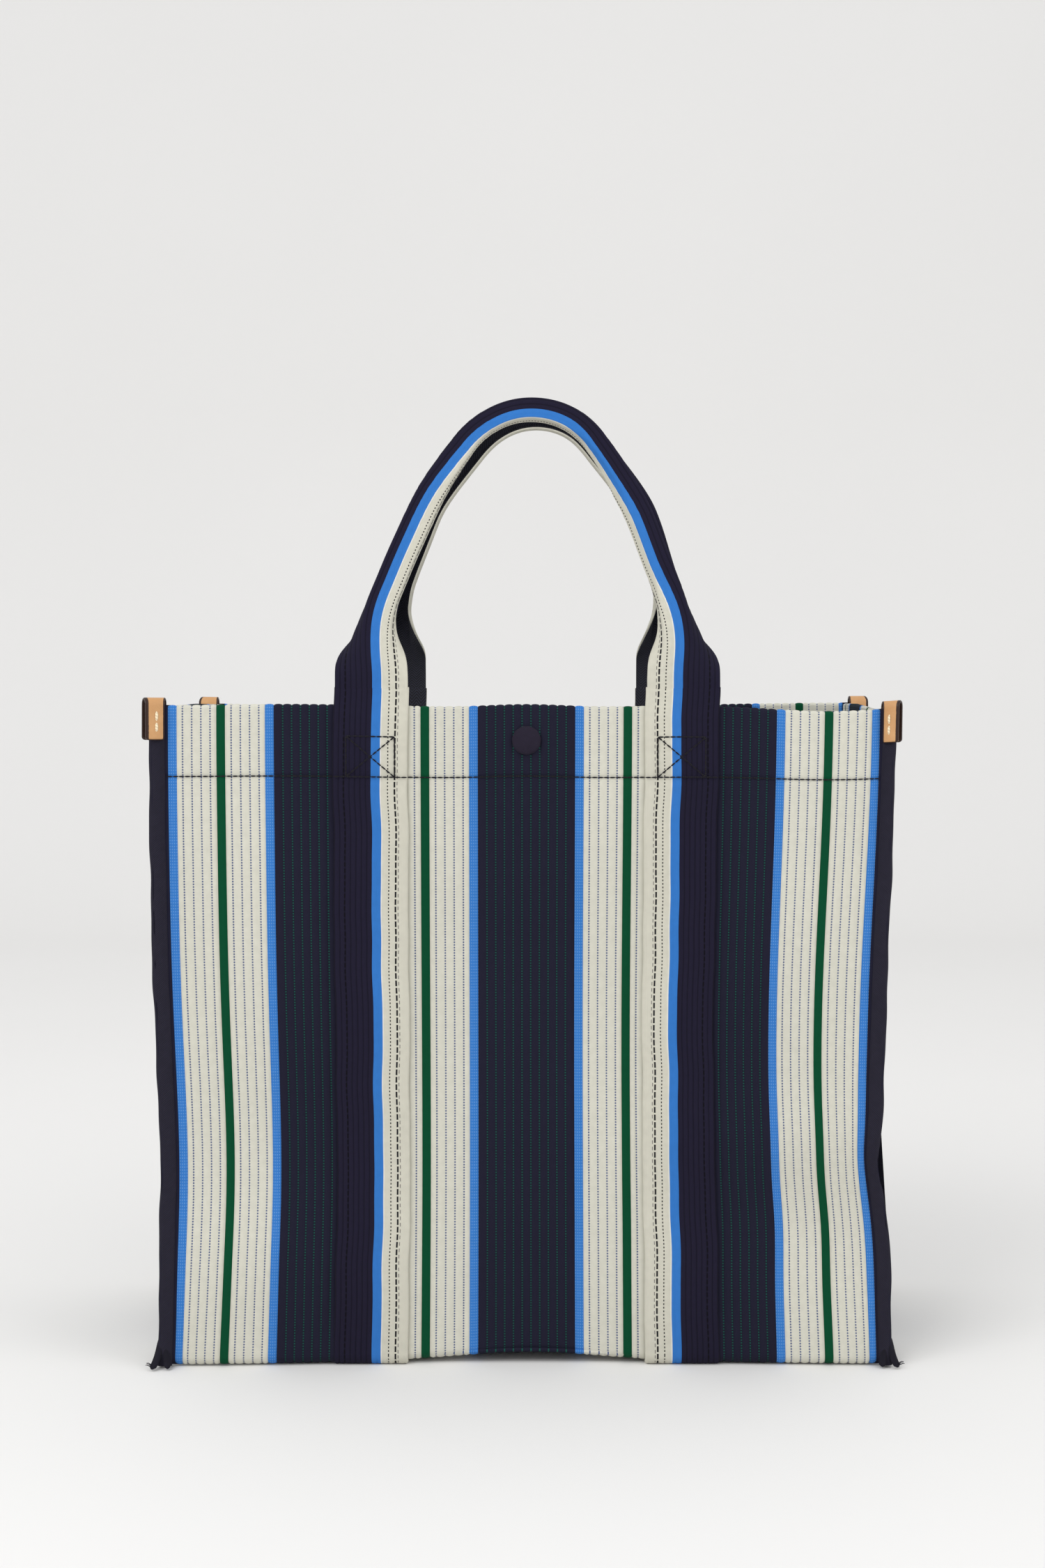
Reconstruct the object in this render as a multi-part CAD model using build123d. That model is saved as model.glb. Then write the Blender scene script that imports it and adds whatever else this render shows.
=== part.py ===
from build123d import *
import math
import os

# A striped, ribbed canvas tote bag, in millimetres. The front faces -Y, +X is the
# wearer's right when the front is looked at, and the floor is z = 0. Every piece is
# modelled as the one on the front, at the right (+X), and mirrored to its places.

# ---- driving dimensions -------------------------------------------------------
BAG_WIDTH = 403.0  # across the two bound side seams
BAG_HEIGHT = 356.0  # floor to the top of the hem
BAG_DEPTH = 160.0  # outer face of the front panel to outer face of the rear panel

CLOTH = 1.6  # ribbed canvas
TAPE = 0.8  # binding tape over the raw seam edges
LEATHER = 1.3  # seam tabs
THREAD = 0.4  # how far a stitch stands proud
STRAP_COVER = 1.3  # striped cloth layer of a strap
STRAP_WEBBING = 1.1  # herringbone webbing layer behind it

SEAM_BITE = 7.5  # width of the binding on a side seam
HEM_DEPTH = 39.0  # the turned-in hem at the mouth
BINDING_TAIL = 1.2  # height of a binding's lower end above the floor
BASE_SEAM_HEIGHT = 6.0  # top of the bound seam between gusset and base
BASE_SEAM_DROP = 1.0  # its underside

STRAP_WIDTH = 39.4
STRAP_SPACING = 83.8  # centre of the bag to the centre of a strap
RISER = 16.0  # free strap between the hem and the bend of the handle

HANDLE_RISE = 160.0  # along the handle, from its bend to the top of the grip
HANDLE_LEAN = 14.0  # degrees that a standing handle leans towards the mouth
GRIP_DEPTH = 7.5  # the strap is folded into a channel this deep
GRIP_GAP = 7.6  # open slot along the inner side of the grip
GRIP_START = 38.0  # along the handle, where the folded grip begins
GRIP_RADIUS = 45.0  # centre line of the grip at its top
LEG_INSET = 3.7  # the grip's legs start this far inside the straps' centres
FLAT_ROOT = 8.0  # flat strap above the bend, before it starts to fold

TAB_HEIGHT = 23.0
TAB_OVERHANG = 2.4  # past the edge of the binding
TAB_RISE = 4.0  # above the hem

SNAP_DROP = 19.5  # from the top of the hem to the middle of the magnetic snap
CAP_DIAMETER = 15.5
CAP_HEIGHT = 2.5
CAP_ROUNDING = 1.75  # radius of the cap's edge
POST_DIAMETER = 3.0
POST_ROOT = 0.1  # how far the rivet post reaches into the cap
SNAP_PLATE = 0.8
SNAP_DIAMETER = 18.0
SOCKET_RIM = 0.6
MAGNET_HEIGHT = 2.2
MAGNET_BORE = 6.4
STUD_DIAMETER = 5.4
STUD_HEIGHT = 2.4

BOX_WIDTH = 26.0  # sewn box with a cross that holds each strap to the hem
BOX_HEIGHT = 22.5
STITCH_LENGTH = 3.1
STITCH_PITCH = 4.2
STITCH_WIDTH = 0.6
HEM_LINE_GAP = 1.0  # the hem's stitching stops this far from a strap
TAB_STITCH_LENGTH = 5.0
TAB_STITCH_WIDTH = 1.3
TAB_STITCH_PITCH = 6.0
TAB_STITCH_FOOT = 7.0  # lower end of the tab to the middle of the lower stitch

# ---- clearances ---------------------------------------------------------------
SEAM_CLEARANCE = 0.5  # binding to gusset wall
HEM_CLEARANCE = 0.4  # hem of a panel to hem of a gusset
FOLD_CLEARANCE = 0.6  # bottom edge of a panel above the straps under the base
BASE_CLEARANCE = 0.8  # edge of the base to a panel
BASE_SEAM_CLEARANCE = 1.0  # bound base seam to the bindings of the side seams
TAB_CLEARANCE = 0.3  # tab to gusset wall
HINGE_OFFSET = 0.3  # bend line outside the strap's outer face
BEND_GAP = 1.0  # each side of a bend line
POST_CLEARANCE = 0.1  # rivet post in its hole
CUT_OVER = 1.0  # a cutting tool runs this far past both faces

# ---- places that follow from them ---------------------------------------------
STRAP = STRAP_COVER + STRAP_WEBBING
SEAM_EDGE = BAG_WIDTH / 2
CLOTH_EDGE = SEAM_EDGE - TAPE
BINDING_START = SEAM_EDGE - SEAM_BITE
GUSSET_OUT = BINDING_START - SEAM_CLEARANCE
GUSSET_IN = GUSSET_OUT - CLOTH
GUSSET_HEM = GUSSET_IN - CLOTH
PANEL_OUT = -BAG_DEPTH / 2
PANEL_IN = PANEL_OUT + CLOTH
HEM_IN = PANEL_IN + CLOTH
PANEL_FOOT = STRAP + FOLD_CLEARANCE
STRAP_FACE = PANEL_OUT - STRAP
STRAP_IN = STRAP_SPACING - STRAP_WIDTH / 2
STRAP_OUT = STRAP_SPACING + STRAP_WIDTH / 2
BEND_Y = STRAP_FACE - HINGE_OFFSET
BEND_Z = BAG_HEIGHT + RISER
HEM_STITCH_Z = BAG_HEIGHT - HEM_DEPTH - THREAD
SNAP_Z = BAG_HEIGHT - SNAP_DROP
GRIP_WIDTH = (STRAP_WIDTH - 2 * GRIP_DEPTH + GRIP_GAP) / 2


def slab(x, y, z):
    """A block between the two ends given along each axis."""
    low = [min(span) for span in (x, y, z)]
    high = [max(span) for span in (x, y, z)]
    size = [b - a for a, b in zip(low, high)]
    centre = [(a + b) / 2 for a, b in zip(low, high)]
    return Pos(*centre) * Box(*size)


def mirrored(part, right=True, front=True):
    """The front right piece, moved by mirroring to the side that is asked for."""
    if not right:
        part = mirror(part, Plane.YZ)
    if not front:
        part = mirror(part, Plane.XZ)
    return part


def both_sides(part):
    """A piece and its mirror image at the other side, as one group."""
    return group([part, mirror(part, Plane.YZ)])


def group(shapes):
    """Separate solids that share a node."""
    return Compound(children=[solid for shape in shapes for solid in shape.solids()])


# ---- base ---------------------------------------------------------------------
def base_panel():
    """The soft bottom, lying on the two straps that run under it."""
    half_depth = -PANEL_IN - BASE_CLEARANCE
    return slab((-GUSSET_IN, GUSSET_IN), (-half_depth, half_depth), (STRAP, STRAP + CLOTH))


def base_binding():
    """Bound seam between the gusset's foot and the side edge of the base."""
    half_depth = -HEM_IN - TAPE - BASE_SEAM_CLEARANCE
    return slab((GUSSET_OUT, SEAM_EDGE), (-half_depth, half_depth), (BASE_SEAM_DROP, BASE_SEAM_HEIGHT))


def base_strap():
    """Strap under the base, from one panel to the other. The bag stands on it."""
    return slab((STRAP_IN, STRAP_OUT), (STRAP_FACE, -STRAP_FACE), (0, STRAP))


# ---- panel, gusset and seams --------------------------------------------------
def snap_disc(radius, near, far):
    """A disc about the snap's axis, between two places along Y."""
    return Pos(0, (near + far) / 2, SNAP_Z) * Rot(X=90) * Cylinder(radius, abs(far - near))


def panel():
    """Front cloth with its hem turned in, pierced for the rivet of the snap."""
    outer = slab((-CLOTH_EDGE, CLOTH_EDGE), (PANEL_OUT, PANEL_IN), (PANEL_FOOT, BAG_HEIGHT))
    hem_edge = GUSSET_HEM - HEM_CLEARANCE
    hem = slab((-hem_edge, hem_edge), (PANEL_IN, HEM_IN), (BAG_HEIGHT - HEM_DEPTH, BAG_HEIGHT))
    hole = snap_disc(POST_DIAMETER / 2 + POST_CLEARANCE, PANEL_OUT - CUT_OVER, HEM_IN + CUT_OVER)
    return outer + hem - hole


def gusset():
    """Front half of a side gusset, from its sewn flange to the crease at y = 0."""
    wall = slab((GUSSET_IN, GUSSET_OUT), (PANEL_IN, 0), (PANEL_FOOT, BAG_HEIGHT))
    flange = slab((GUSSET_OUT, CLOTH_EDGE), (PANEL_IN, HEM_IN), (PANEL_FOOT, BAG_HEIGHT))
    hem = slab((GUSSET_HEM, GUSSET_IN), (PANEL_IN, 0), (BAG_HEIGHT - HEM_DEPTH, BAG_HEIGHT))
    return wall + flange + hem


def binding():
    """Tape folded over the edges of panel and gusset flange."""
    height = (BINDING_TAIL, BAG_HEIGHT)
    tape = slab((BINDING_START, SEAM_EDGE), (PANEL_OUT - TAPE, HEM_IN + TAPE), height)
    cloth = slab((BINDING_START, CLOTH_EDGE), (PANEL_OUT, HEM_IN), height)
    return tape - cloth


def tab():
    """Leather folded over the top of a bound seam."""
    span = (GUSSET_OUT + TAB_CLEARANCE, SEAM_EDGE + TAB_OVERHANG)
    inner_face, outer_face = HEM_IN + TAPE, PANEL_OUT - TAPE
    middle = (inner_face + outer_face) / 2
    radius = (inner_face - outer_face) / 2
    top = BAG_HEIGHT + TAB_RISE
    turn = top - LEATHER - radius
    foot = top - TAB_HEIGHT

    def fold(r):
        legs = slab(span, (middle - r, middle + r), (foot, turn))
        bend = Pos(sum(span) / 2, middle, turn) * Rot(Y=90) * Cylinder(r, span[1] - span[0])
        return legs + bend

    return fold(radius + LEATHER) - fold(radius)


def tab_stitches():
    """Two upright stitches in line through the tab, seen on both of its legs."""
    span = (GUSSET_OUT + TAB_CLEARANCE, SEAM_EDGE + TAB_OVERHANG)
    middle = sum(span) / 2
    foot = BAG_HEIGHT + TAB_RISE - TAB_HEIGHT
    faces = [(PANEL_OUT - TAPE - LEATHER, -1), (HEM_IN + TAPE + LEATHER, 1)]
    bars = []
    for face, outward in faces:
        for row in (0, 1):
            z = foot + TAB_STITCH_FOOT + row * TAB_STITCH_PITCH
            across = (middle - TAB_STITCH_WIDTH / 2, middle + TAB_STITCH_WIDTH / 2)
            up = (z - TAB_STITCH_LENGTH / 2, z + TAB_STITCH_LENGTH / 2)
            bars.append(slab(across, (face, face + outward * THREAD), up))
    return group(bars)


# ---- stitching ----------------------------------------------------------------
def seam_line(start, end, face):
    """A row of stitches on a face at a given Y, from one (x, z) point to another."""
    dx, dz = end[0] - start[0], end[1] - start[1]
    length = math.hypot(dx, dz)
    count = 2 * max(1, round(length / STITCH_PITCH / 2))
    bar = Box(STITCH_LENGTH * length / count / STITCH_PITCH, THREAD, STITCH_WIDTH)
    turned = Rot(Y=-math.degrees(math.atan2(dz, dx))) * bar
    shares = [(n + 0.5) / count for n in range(count)]
    return [Pos(start[0] + s * dx, face - THREAD / 2, start[1] + s * dz) * turned for s in shares]


def hem_stitches():
    """The line that closes the hem, left out where the straps cover it."""
    side = GUSSET_HEM - HEM_CLEARANCE - STITCH_PITCH
    end = STRAP_IN - HEM_LINE_GAP
    rows = seam_line((-end, HEM_STITCH_Z), (end, HEM_STITCH_Z), PANEL_OUT)
    for sign in (-1, 1):
        ends = sorted((sign * (STRAP_OUT + HEM_LINE_GAP), sign * side))
        rows += seam_line((ends[0], HEM_STITCH_Z), (ends[1], HEM_STITCH_Z), PANEL_OUT)
    return group(rows)


def box_stitches():
    """A box with a cross, through strap and hem."""
    left, right = STRAP_SPACING - BOX_WIDTH / 2, STRAP_SPACING + BOX_WIDTH / 2
    low, high = HEM_STITCH_Z, HEM_STITCH_Z + BOX_HEIGHT
    corners = [(left, low), (right, low), (right, high), (left, high)]
    rows = []
    for a, b in zip(corners, corners[1:] + corners[:1]):
        rows += seam_line(a, b, STRAP_FACE)
    inset = STITCH_LENGTH / math.hypot(BOX_WIDTH, BOX_HEIGHT)
    for a, b in ((corners[0], corners[2]), (corners[1], corners[3])):
        near = (a[0] + inset * (b[0] - a[0]), a[1] + inset * (b[1] - a[1]))
        far = (b[0] + inset * (a[0] - b[0]), b[1] + inset * (a[1] - b[1]))
        rows += seam_line(near, far, STRAP_FACE)
    return both_sides(group(rows))


# ---- magnetic snap ------------------------------------------------------------
def snap_cap():
    """Cloth-covered cap with the rivet post that goes through the hem."""
    dome = snap_disc(CAP_DIAMETER / 2, PANEL_OUT - CAP_HEIGHT, PANEL_OUT)
    rim = dome.edges().filter_by(GeomType.CIRCLE).sort_by(Axis.Y)[0]
    return fillet(rim, CAP_ROUNDING) + snap_disc(POST_DIAMETER / 2, PANEL_OUT - POST_ROOT, HEM_IN)


def snap_socket():
    """Metal cup that holds the magnet against the inside of the hem."""
    radius = SNAP_DIAMETER / 2
    floor = HEM_IN + SNAP_PLATE
    cup = snap_disc(radius, HEM_IN, floor + MAGNET_HEIGHT)
    return cup - snap_disc(radius - SOCKET_RIM, floor, floor + MAGNET_HEIGHT)


def snap_magnet():
    """Ring magnet, whose bore takes the stud."""
    floor = HEM_IN + SNAP_PLATE
    ring = snap_disc(SNAP_DIAMETER / 2 - SOCKET_RIM, floor, floor + MAGNET_HEIGHT)
    return ring - snap_disc(MAGNET_BORE / 2, floor, floor + MAGNET_HEIGHT)


def snap_stud():
    """Plate and stud of the other half, modelled on the front and mirrored."""
    plate = snap_disc(SNAP_DIAMETER / 2, HEM_IN, HEM_IN + SNAP_PLATE)
    return plate + snap_disc(STUD_DIAMETER / 2, HEM_IN + SNAP_PLATE, HEM_IN + SNAP_PLATE + STUD_HEIGHT)


# ---- straps and handle --------------------------------------------------------
def panel_strap():
    """Strap sewn flat on the panel from the floor to the hem."""
    return slab((STRAP_IN, STRAP_OUT), (STRAP_FACE, PANEL_OUT), (STRAP, BAG_HEIGHT))


def riser():
    """Free strap above the hem, up to the bend of the handle."""
    foot = BAG_HEIGHT + FOLD_CLEARANCE
    return slab((STRAP_IN, STRAP_OUT), (STRAP_FACE, PANEL_OUT), (foot, BEND_Z - BEND_GAP))


def flat_outline(near, far):
    """Section of a flat layer between two depths, with a point at each later fold."""
    edge, fold = STRAP_WIDTH / 2, STRAP_WIDTH / 2 - GRIP_DEPTH
    outer = [(-edge, near), (-fold, near), (fold, near), (edge, near)]
    inner = [(edge, far), (fold, far), (-fold, far), (-edge, far)]
    return outer + inner


def channel_outline(near, far, depth):
    """Section of the same layer folded into a channel of a given depth."""
    outer, inner = GRIP_WIDTH / 2 - near, GRIP_WIDTH / 2 - far
    first = [(-outer, depth), (-outer, near), (outer, near), (outer, depth)]
    second = [(inner, depth), (inner, far), (-inner, far), (-inner, depth)]
    return first + second


def grip_leg():
    """Foot of the right leg of the grip, the point where its straight part meets the
    top arc, and its slope. The straight part is the tangent from the foot."""
    foot = (STRAP_SPACING - LEG_INSET, GRIP_START)
    centre = HANDLE_RISE - GRIP_WIDTH / 2 - GRIP_RADIUS
    away = math.hypot(foot[0], centre - foot[1])
    slope = math.atan2(foot[0], centre - foot[1]) - math.asin(GRIP_RADIUS / away)
    length = math.sqrt(away**2 - GRIP_RADIUS**2)
    top = (foot[0] - length * math.sin(slope), foot[1] + length * math.cos(slope))
    return foot, top, slope


def grip_sweep(outline):
    """A section carried along the grip, from the right leg over the top to the left."""
    foot, top, slope = grip_leg()
    crown = HANDLE_RISE - GRIP_WIDTH / 2
    right = Line((foot[0], 0, foot[1]), (top[0], 0, top[1]))
    arc = ThreePointArc((top[0], 0, top[1]), (0, 0, crown), (-top[0], 0, top[1]))
    left = Line((-top[0], 0, top[1]), (-foot[0], 0, foot[1]))
    return sweep(leg_plane(foot, slope) * face_of(outline), path=Wire([right, arc, left]))


def leg_plane(foot, slope):
    """Plane square to the right leg at its foot: x across the strap, y into its depth."""
    across = (math.cos(slope), 0, math.sin(slope))
    along = (-math.sin(slope), 0, math.cos(slope))
    return Plane(origin=(foot[0], 0, foot[1]), x_dir=across, z_dir=along)


def face_of(outline):
    """Flat face inside a closed outline."""
    return make_face(Polyline(*outline, close=True))


def handle_layer(near, far, section):
    """One layer of the handle: flat root, the stretch that folds up, and the grip."""
    foot, _, slope = grip_leg()
    root = slab((STRAP_IN, STRAP_OUT), (near, far), (BEND_GAP, FLAT_ROOT))
    flat = Plane(origin=(STRAP_SPACING, 0, FLAT_ROOT), x_dir=(1, 0, 0), z_dir=(0, 0, 1))
    folded = leg_plane(foot, slope) * face_of(channel_outline(near, far, GRIP_DEPTH))
    flare = loft([flat * face_of(flat_outline(near, far)), folded], ruled=True)
    right = root + flare
    layer = right + grip_sweep(section) + mirror(right, Plane.YZ)
    return Pos(0, BEND_Y, BEND_Z) * Rot(X=-HANDLE_LEAN) * Pos(0, HINGE_OFFSET, 0) * layer


def grip_cover():
    """Striped outer layer, whose two edges turn in at the mouth side of the grip."""
    outer, inner, slot = GRIP_WIDTH / 2, GRIP_WIDTH / 2 - STRAP_COVER, GRIP_GAP / 2
    floor, lip = STRAP_COVER, GRIP_DEPTH - STRAP_COVER
    right = [(outer, 0), (outer, GRIP_DEPTH), (slot, GRIP_DEPTH), (slot, lip), (inner, lip), (inner, floor)]
    left = [(-x, depth) for x, depth in reversed(right)]
    return handle_layer(0, STRAP_COVER, right + left)


def grip_lining():
    """Webbing layer inside the cover."""
    section = channel_outline(STRAP_COVER, STRAP, GRIP_DEPTH - STRAP_COVER)
    return handle_layer(STRAP_COVER, STRAP, section)


def pieces():
    """Every node's name and its solids."""
    named = {
        "base_panel": base_panel(),
        "snap_socket": snap_socket(),
        "snap_magnet": snap_magnet(),
        "snap_socket_cap": snap_cap(),
        "snap_stud": mirrored(snap_stud(), front=False),
        "snap_stud_cap": mirrored(snap_cap(), front=False),
    }
    for side in ("left", "right"):
        right = side == "right"
        named[f"{side}_base_binding"] = mirrored(base_binding(), right)
        named[f"{side}_base_strap"] = mirrored(base_strap(), right)
    for face in ("front", "rear"):
        front = face == "front"
        named[f"{face}_panel"] = mirrored(panel(), front=front)
        named[f"{face}_hem_stitches"] = mirrored(hem_stitches(), front=front)
        named[f"{face}_box_stitches"] = mirrored(box_stitches(), front=front)
        named[f"{face}_tab_stitches"] = mirrored(both_sides(tab_stitches()), front=front)
        named[f"{face}_grip_cover"] = mirrored(grip_cover(), front=front)
        named[f"{face}_grip_lining"] = mirrored(grip_lining(), front=front)
        for side in ("left", "right"):
            right = side == "right"
            named[f"{face}_{side}_gusset"] = mirrored(gusset(), right, front)
            named[f"{face}_{side}_binding"] = mirrored(binding(), right, front)
            named[f"{face}_{side}_tab"] = mirrored(tab(), right, front)
            named[f"{face}_{side}_strap"] = mirrored(panel_strap(), right, front)
            named[f"{face}_{side}_riser"] = mirrored(riser(), right, front)
    return named


os.makedirs("parts", exist_ok=True)
for name, shape in pieces().items():
    export_step(shape, f"parts/{name}.step")
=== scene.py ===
# %% [markdown]
# # A striped canvas tote bag
# This lesson dresses a tote bag that is already designed. The design gives a fixed frame: plain
# panels, straps and handles of the right size in the right place. Here every soft piece is
# made again as real cloth: ribs, folds, stitches and all.
#
# Each shape is a formula over a grid of two parameters, worked out with numpy as whole arrays.
# That keeps a piece short to write, easy to change, and exact where it meets its neighbours.

# %% Load the fixed frame
import bpy
import numpy as np
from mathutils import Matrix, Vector


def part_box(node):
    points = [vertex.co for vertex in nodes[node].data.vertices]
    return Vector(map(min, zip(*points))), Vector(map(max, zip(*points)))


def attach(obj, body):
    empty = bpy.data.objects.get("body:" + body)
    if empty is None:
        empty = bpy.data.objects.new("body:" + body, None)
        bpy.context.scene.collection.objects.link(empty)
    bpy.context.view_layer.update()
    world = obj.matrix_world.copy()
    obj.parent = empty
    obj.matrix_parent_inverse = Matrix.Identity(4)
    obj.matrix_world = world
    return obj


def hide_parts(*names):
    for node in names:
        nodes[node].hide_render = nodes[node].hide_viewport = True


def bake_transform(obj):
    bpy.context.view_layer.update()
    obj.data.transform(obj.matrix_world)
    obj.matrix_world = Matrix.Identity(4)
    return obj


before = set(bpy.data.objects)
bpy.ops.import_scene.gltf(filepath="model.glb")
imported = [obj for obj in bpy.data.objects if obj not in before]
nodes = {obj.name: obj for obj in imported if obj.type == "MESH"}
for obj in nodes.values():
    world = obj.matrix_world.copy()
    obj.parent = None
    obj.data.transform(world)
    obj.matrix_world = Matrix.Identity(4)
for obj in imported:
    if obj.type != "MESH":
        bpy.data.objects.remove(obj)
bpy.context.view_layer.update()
print("pieces in the frame:", len(nodes))

# %% [markdown]
# ## Sizes from the frame
# Nothing is measured twice. A corner of a box tells where a panel ends or how thick a cloth
# is, so a new piece always fits the frame. The front faces -Y, and everything at the front is
# mirrored for the rear, so the sizes are read from the front, on its right side.

# %% Read the sizes
panel_low, panel_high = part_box("front_panel")
seam_low, seam_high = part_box("front_right_binding")
strap_low, strap_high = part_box("front_right_strap")
gusset_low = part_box("front_right_gusset")[0]
tab_low, tab_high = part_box("front_right_tab")
box_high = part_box("front_box_stitches")[1]
hem_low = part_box("front_hem_stitches")[0]

FACE = -panel_low.y
HEM_TOP = panel_high.z
CLOTH = 0.0016
HEM_FOOT = hem_low.z + 0.0008
HEM_EDGE = 0.1899
CLOTH_EDGE = panel_high.x
SEAM_EDGE = seam_high.x
SEAM_START = seam_low.x
STRAP_EDGE = strap_high.x
STRAP_WIDTH = strap_high.x - strap_low.x
STRAP_CENTRE = (strap_high.x + strap_low.x) / 2
STRAP = strap_high.y - strap_low.y
STRAP_TOP = HEM_TOP + 0.008
COVER = 0.0013
BEND_Z = 0.372
LEAN = np.radians(14)
FACES, SIDES = ("front", "rear"), ("left", "right")
SIGN = {"left": -1, "right": 1}
INWARD = {"front": 1, "rear": -1}
print(f"face {FACE:.4f} m, hem {HEM_TOP:.3f} m, strap {STRAP_WIDTH:.4f} m wide")

# %% [markdown]
# ## A mesh from rings
# Nearly every piece of a bag is a closed tube in disguise. A panel is a flat loop carried
# sideways, a strap is a flat loop carried upwards, and a stitch is a tiny round one. So one
# helper is enough: it takes rings of points, joins neighbouring rings with quads, and fills
# the first and the last ring. It measures the volume that the faces enclose, and turns
# them round if that is negative, so faces always point outwards.

# %% Rings to a closed mesh
def enclosed(points, faces):
    """Signed volume inside faces: one sixth of the sum of a . (b x c) over their triangles."""
    a, b, c = (points[faces[:, i]] for i in range(3))
    return np.einsum("ij,ij->", a, np.cross(b, c)) / 6


def tube_mesh(name, rings, uv=None):
    """A closed mesh. rings[t, i, j] is point j round ring i of tube t, and uv has one more
    point round each ring, so that a pattern can close on itself. The rims of the two flat
    ends are marked sharp, so that no soft shading runs round them."""
    rings = np.asarray(rings, float)
    rings = rings if rings.ndim == 4 else rings[None]
    tubes, count, around, _ = rings.shape
    if uv is None:
        j, i = np.meshgrid(np.linspace(0, 1, around + 1), np.linspace(0, 1, count))
        uv = np.stack([j, i], -1)
    uv = np.broadcast_to(uv, (tubes, count, around + 1, 2))
    index = np.arange(tubes * count * around).reshape(tubes, count, around)
    after = np.roll(index, -1, axis=2)
    quads = np.stack([index[:, :-1], after[:, :-1], after[:, 1:], index[:, 1:]], -1).reshape(-1, 4)
    caps = np.concatenate([index[:, 0, ::-1], index[:, -1]])
    quad_uv = np.stack([uv[:, :-1, :-1], uv[:, :-1, 1:], uv[:, 1:, 1:], uv[:, 1:, :-1]], 3)
    cap_uv = np.concatenate([uv[:, 0, around - 1::-1], uv[:, -1, :-1]])
    points = rings.reshape(-1, 3)
    fan = [caps[:, [0, k, k + 1]] for k in range(1, around - 1)]
    triangles = np.concatenate([quads[:, :3], quads[:, [0, 2, 3]], *fan])
    mesh = bpy.data.meshes.new(name)
    mesh.from_pydata(points, [], quads.tolist() + caps.tolist())
    layer = mesh.uv_layers.new(name="UVMap")
    layer.data.foreach_set("uv", np.concatenate([quad_uv.reshape(-1), cap_uv.reshape(-1)]))
    smooth = np.arange(len(mesh.polygons)) < len(quads)
    mesh.polygons.foreach_set("use_smooth", smooth)
    ends = np.zeros(2 * len(mesh.edges), int)
    mesh.edges.foreach_get("vertices", ends)
    ring_a, ring_b = ends.reshape(-1, 2).T // around
    at_end = np.isin(ring_a % count, (0, count - 1))
    rim = mesh.attributes.new("sharp_edge", "BOOLEAN", "EDGE")
    rim.data.foreach_set("value", (ring_a == ring_b) & at_end)
    if enclosed(points, triangles) < 0:
        mesh.flip_normals()
    piece = bpy.data.objects.new(name, mesh)
    bpy.context.scene.collection.objects.link(piece)
    return piece


def finish_piece(piece, material, body, replaced=()):
    """Gives a piece its material and slot, what it rides on and what it stands for."""
    piece.data.materials.append(material)
    if body:
        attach(piece, body)
    if replaced:
        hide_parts(*replaced)
    print(piece.name, len(piece.data.polygons), "faces")
    return piece


# %% [markdown]
# ## Soft steps and noise
# Cloth never stops or starts suddenly. `ease` is the smooth step: it leaves 0 gently and
# arrives at 1 gently. `ripple` is a sum of three slow sine waves, whose lengths don't fit each
# other, so that it never seems to repeat and gives the same numbers on every run.

# %% Small formulas
def ease(x, start, end):
    """Smooth step from 0 at start to 1 at end: 3 t^2 - 2 t^3."""
    t = np.clip((np.asarray(x, float) - start) / (end - start), 0, 1)
    return t * t * (3 - 2 * t)


def ripple(x, length, phase=0.0):
    """Three sine waves, of length, length / 1.7 and length / 2.9, that add up to at most 1."""
    turn = 2 * np.pi * np.asarray(x, float) / length
    waves = np.sin(turn + phase) + 0.6 * np.sin(1.7 * turn + 2 * phase)
    return (waves + 0.4 * np.sin(2.9 * turn + 5 * phase)) / 2


def spaced(*stops):
    """Numbers in even steps between stops, given as start, count, stop, count, stop..."""
    runs = [np.linspace(a, b, n, endpoint=False) for a, n, b in zip(stops[::2], stops[1::2], stops[2::2])]
    return np.append(np.concatenate(runs), stops[-1])


def arc(middle_a, middle_b, radius, start, end, count):
    """Points on an arc, from start to end degrees."""
    turn = np.radians(np.linspace(start, end, count))
    return np.stack([middle_a + radius * np.cos(turn), middle_b + radius * np.sin(turn)], -1)


def unit(vectors):
    """The same directions, each of length 1."""
    return vectors / np.linalg.norm(vectors, axis=-1, keepdims=True)


def round_lengths(loop):
    """Distance round a closed loop to each of its points, and at last to the first again."""
    steps = np.linalg.norm(np.diff(loop, axis=0, append=loop[:1]), axis=1)
    return np.append(0, np.cumsum(steps))


def both(a, b):
    """Two grids of numbers, stretched to the same shape, as pairs."""
    return np.stack(np.broadcast_arrays(a, b), -1)


# %% [markdown]
# ## How the cloth hangs
# A stiff canvas bag still isn't flat. Its sides draw in at mid height, the front sinks a
# little, the foot lifts between the straps, and one corner buckles. Each of these is a `pull`:
# a soft bump of cloth, strongest at its middle, that moves it sideways, inwards or up. One
# function moves every point that lies on a panel, so straps, seams and stitches all stay on
# the cloth, however it hangs.

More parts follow.
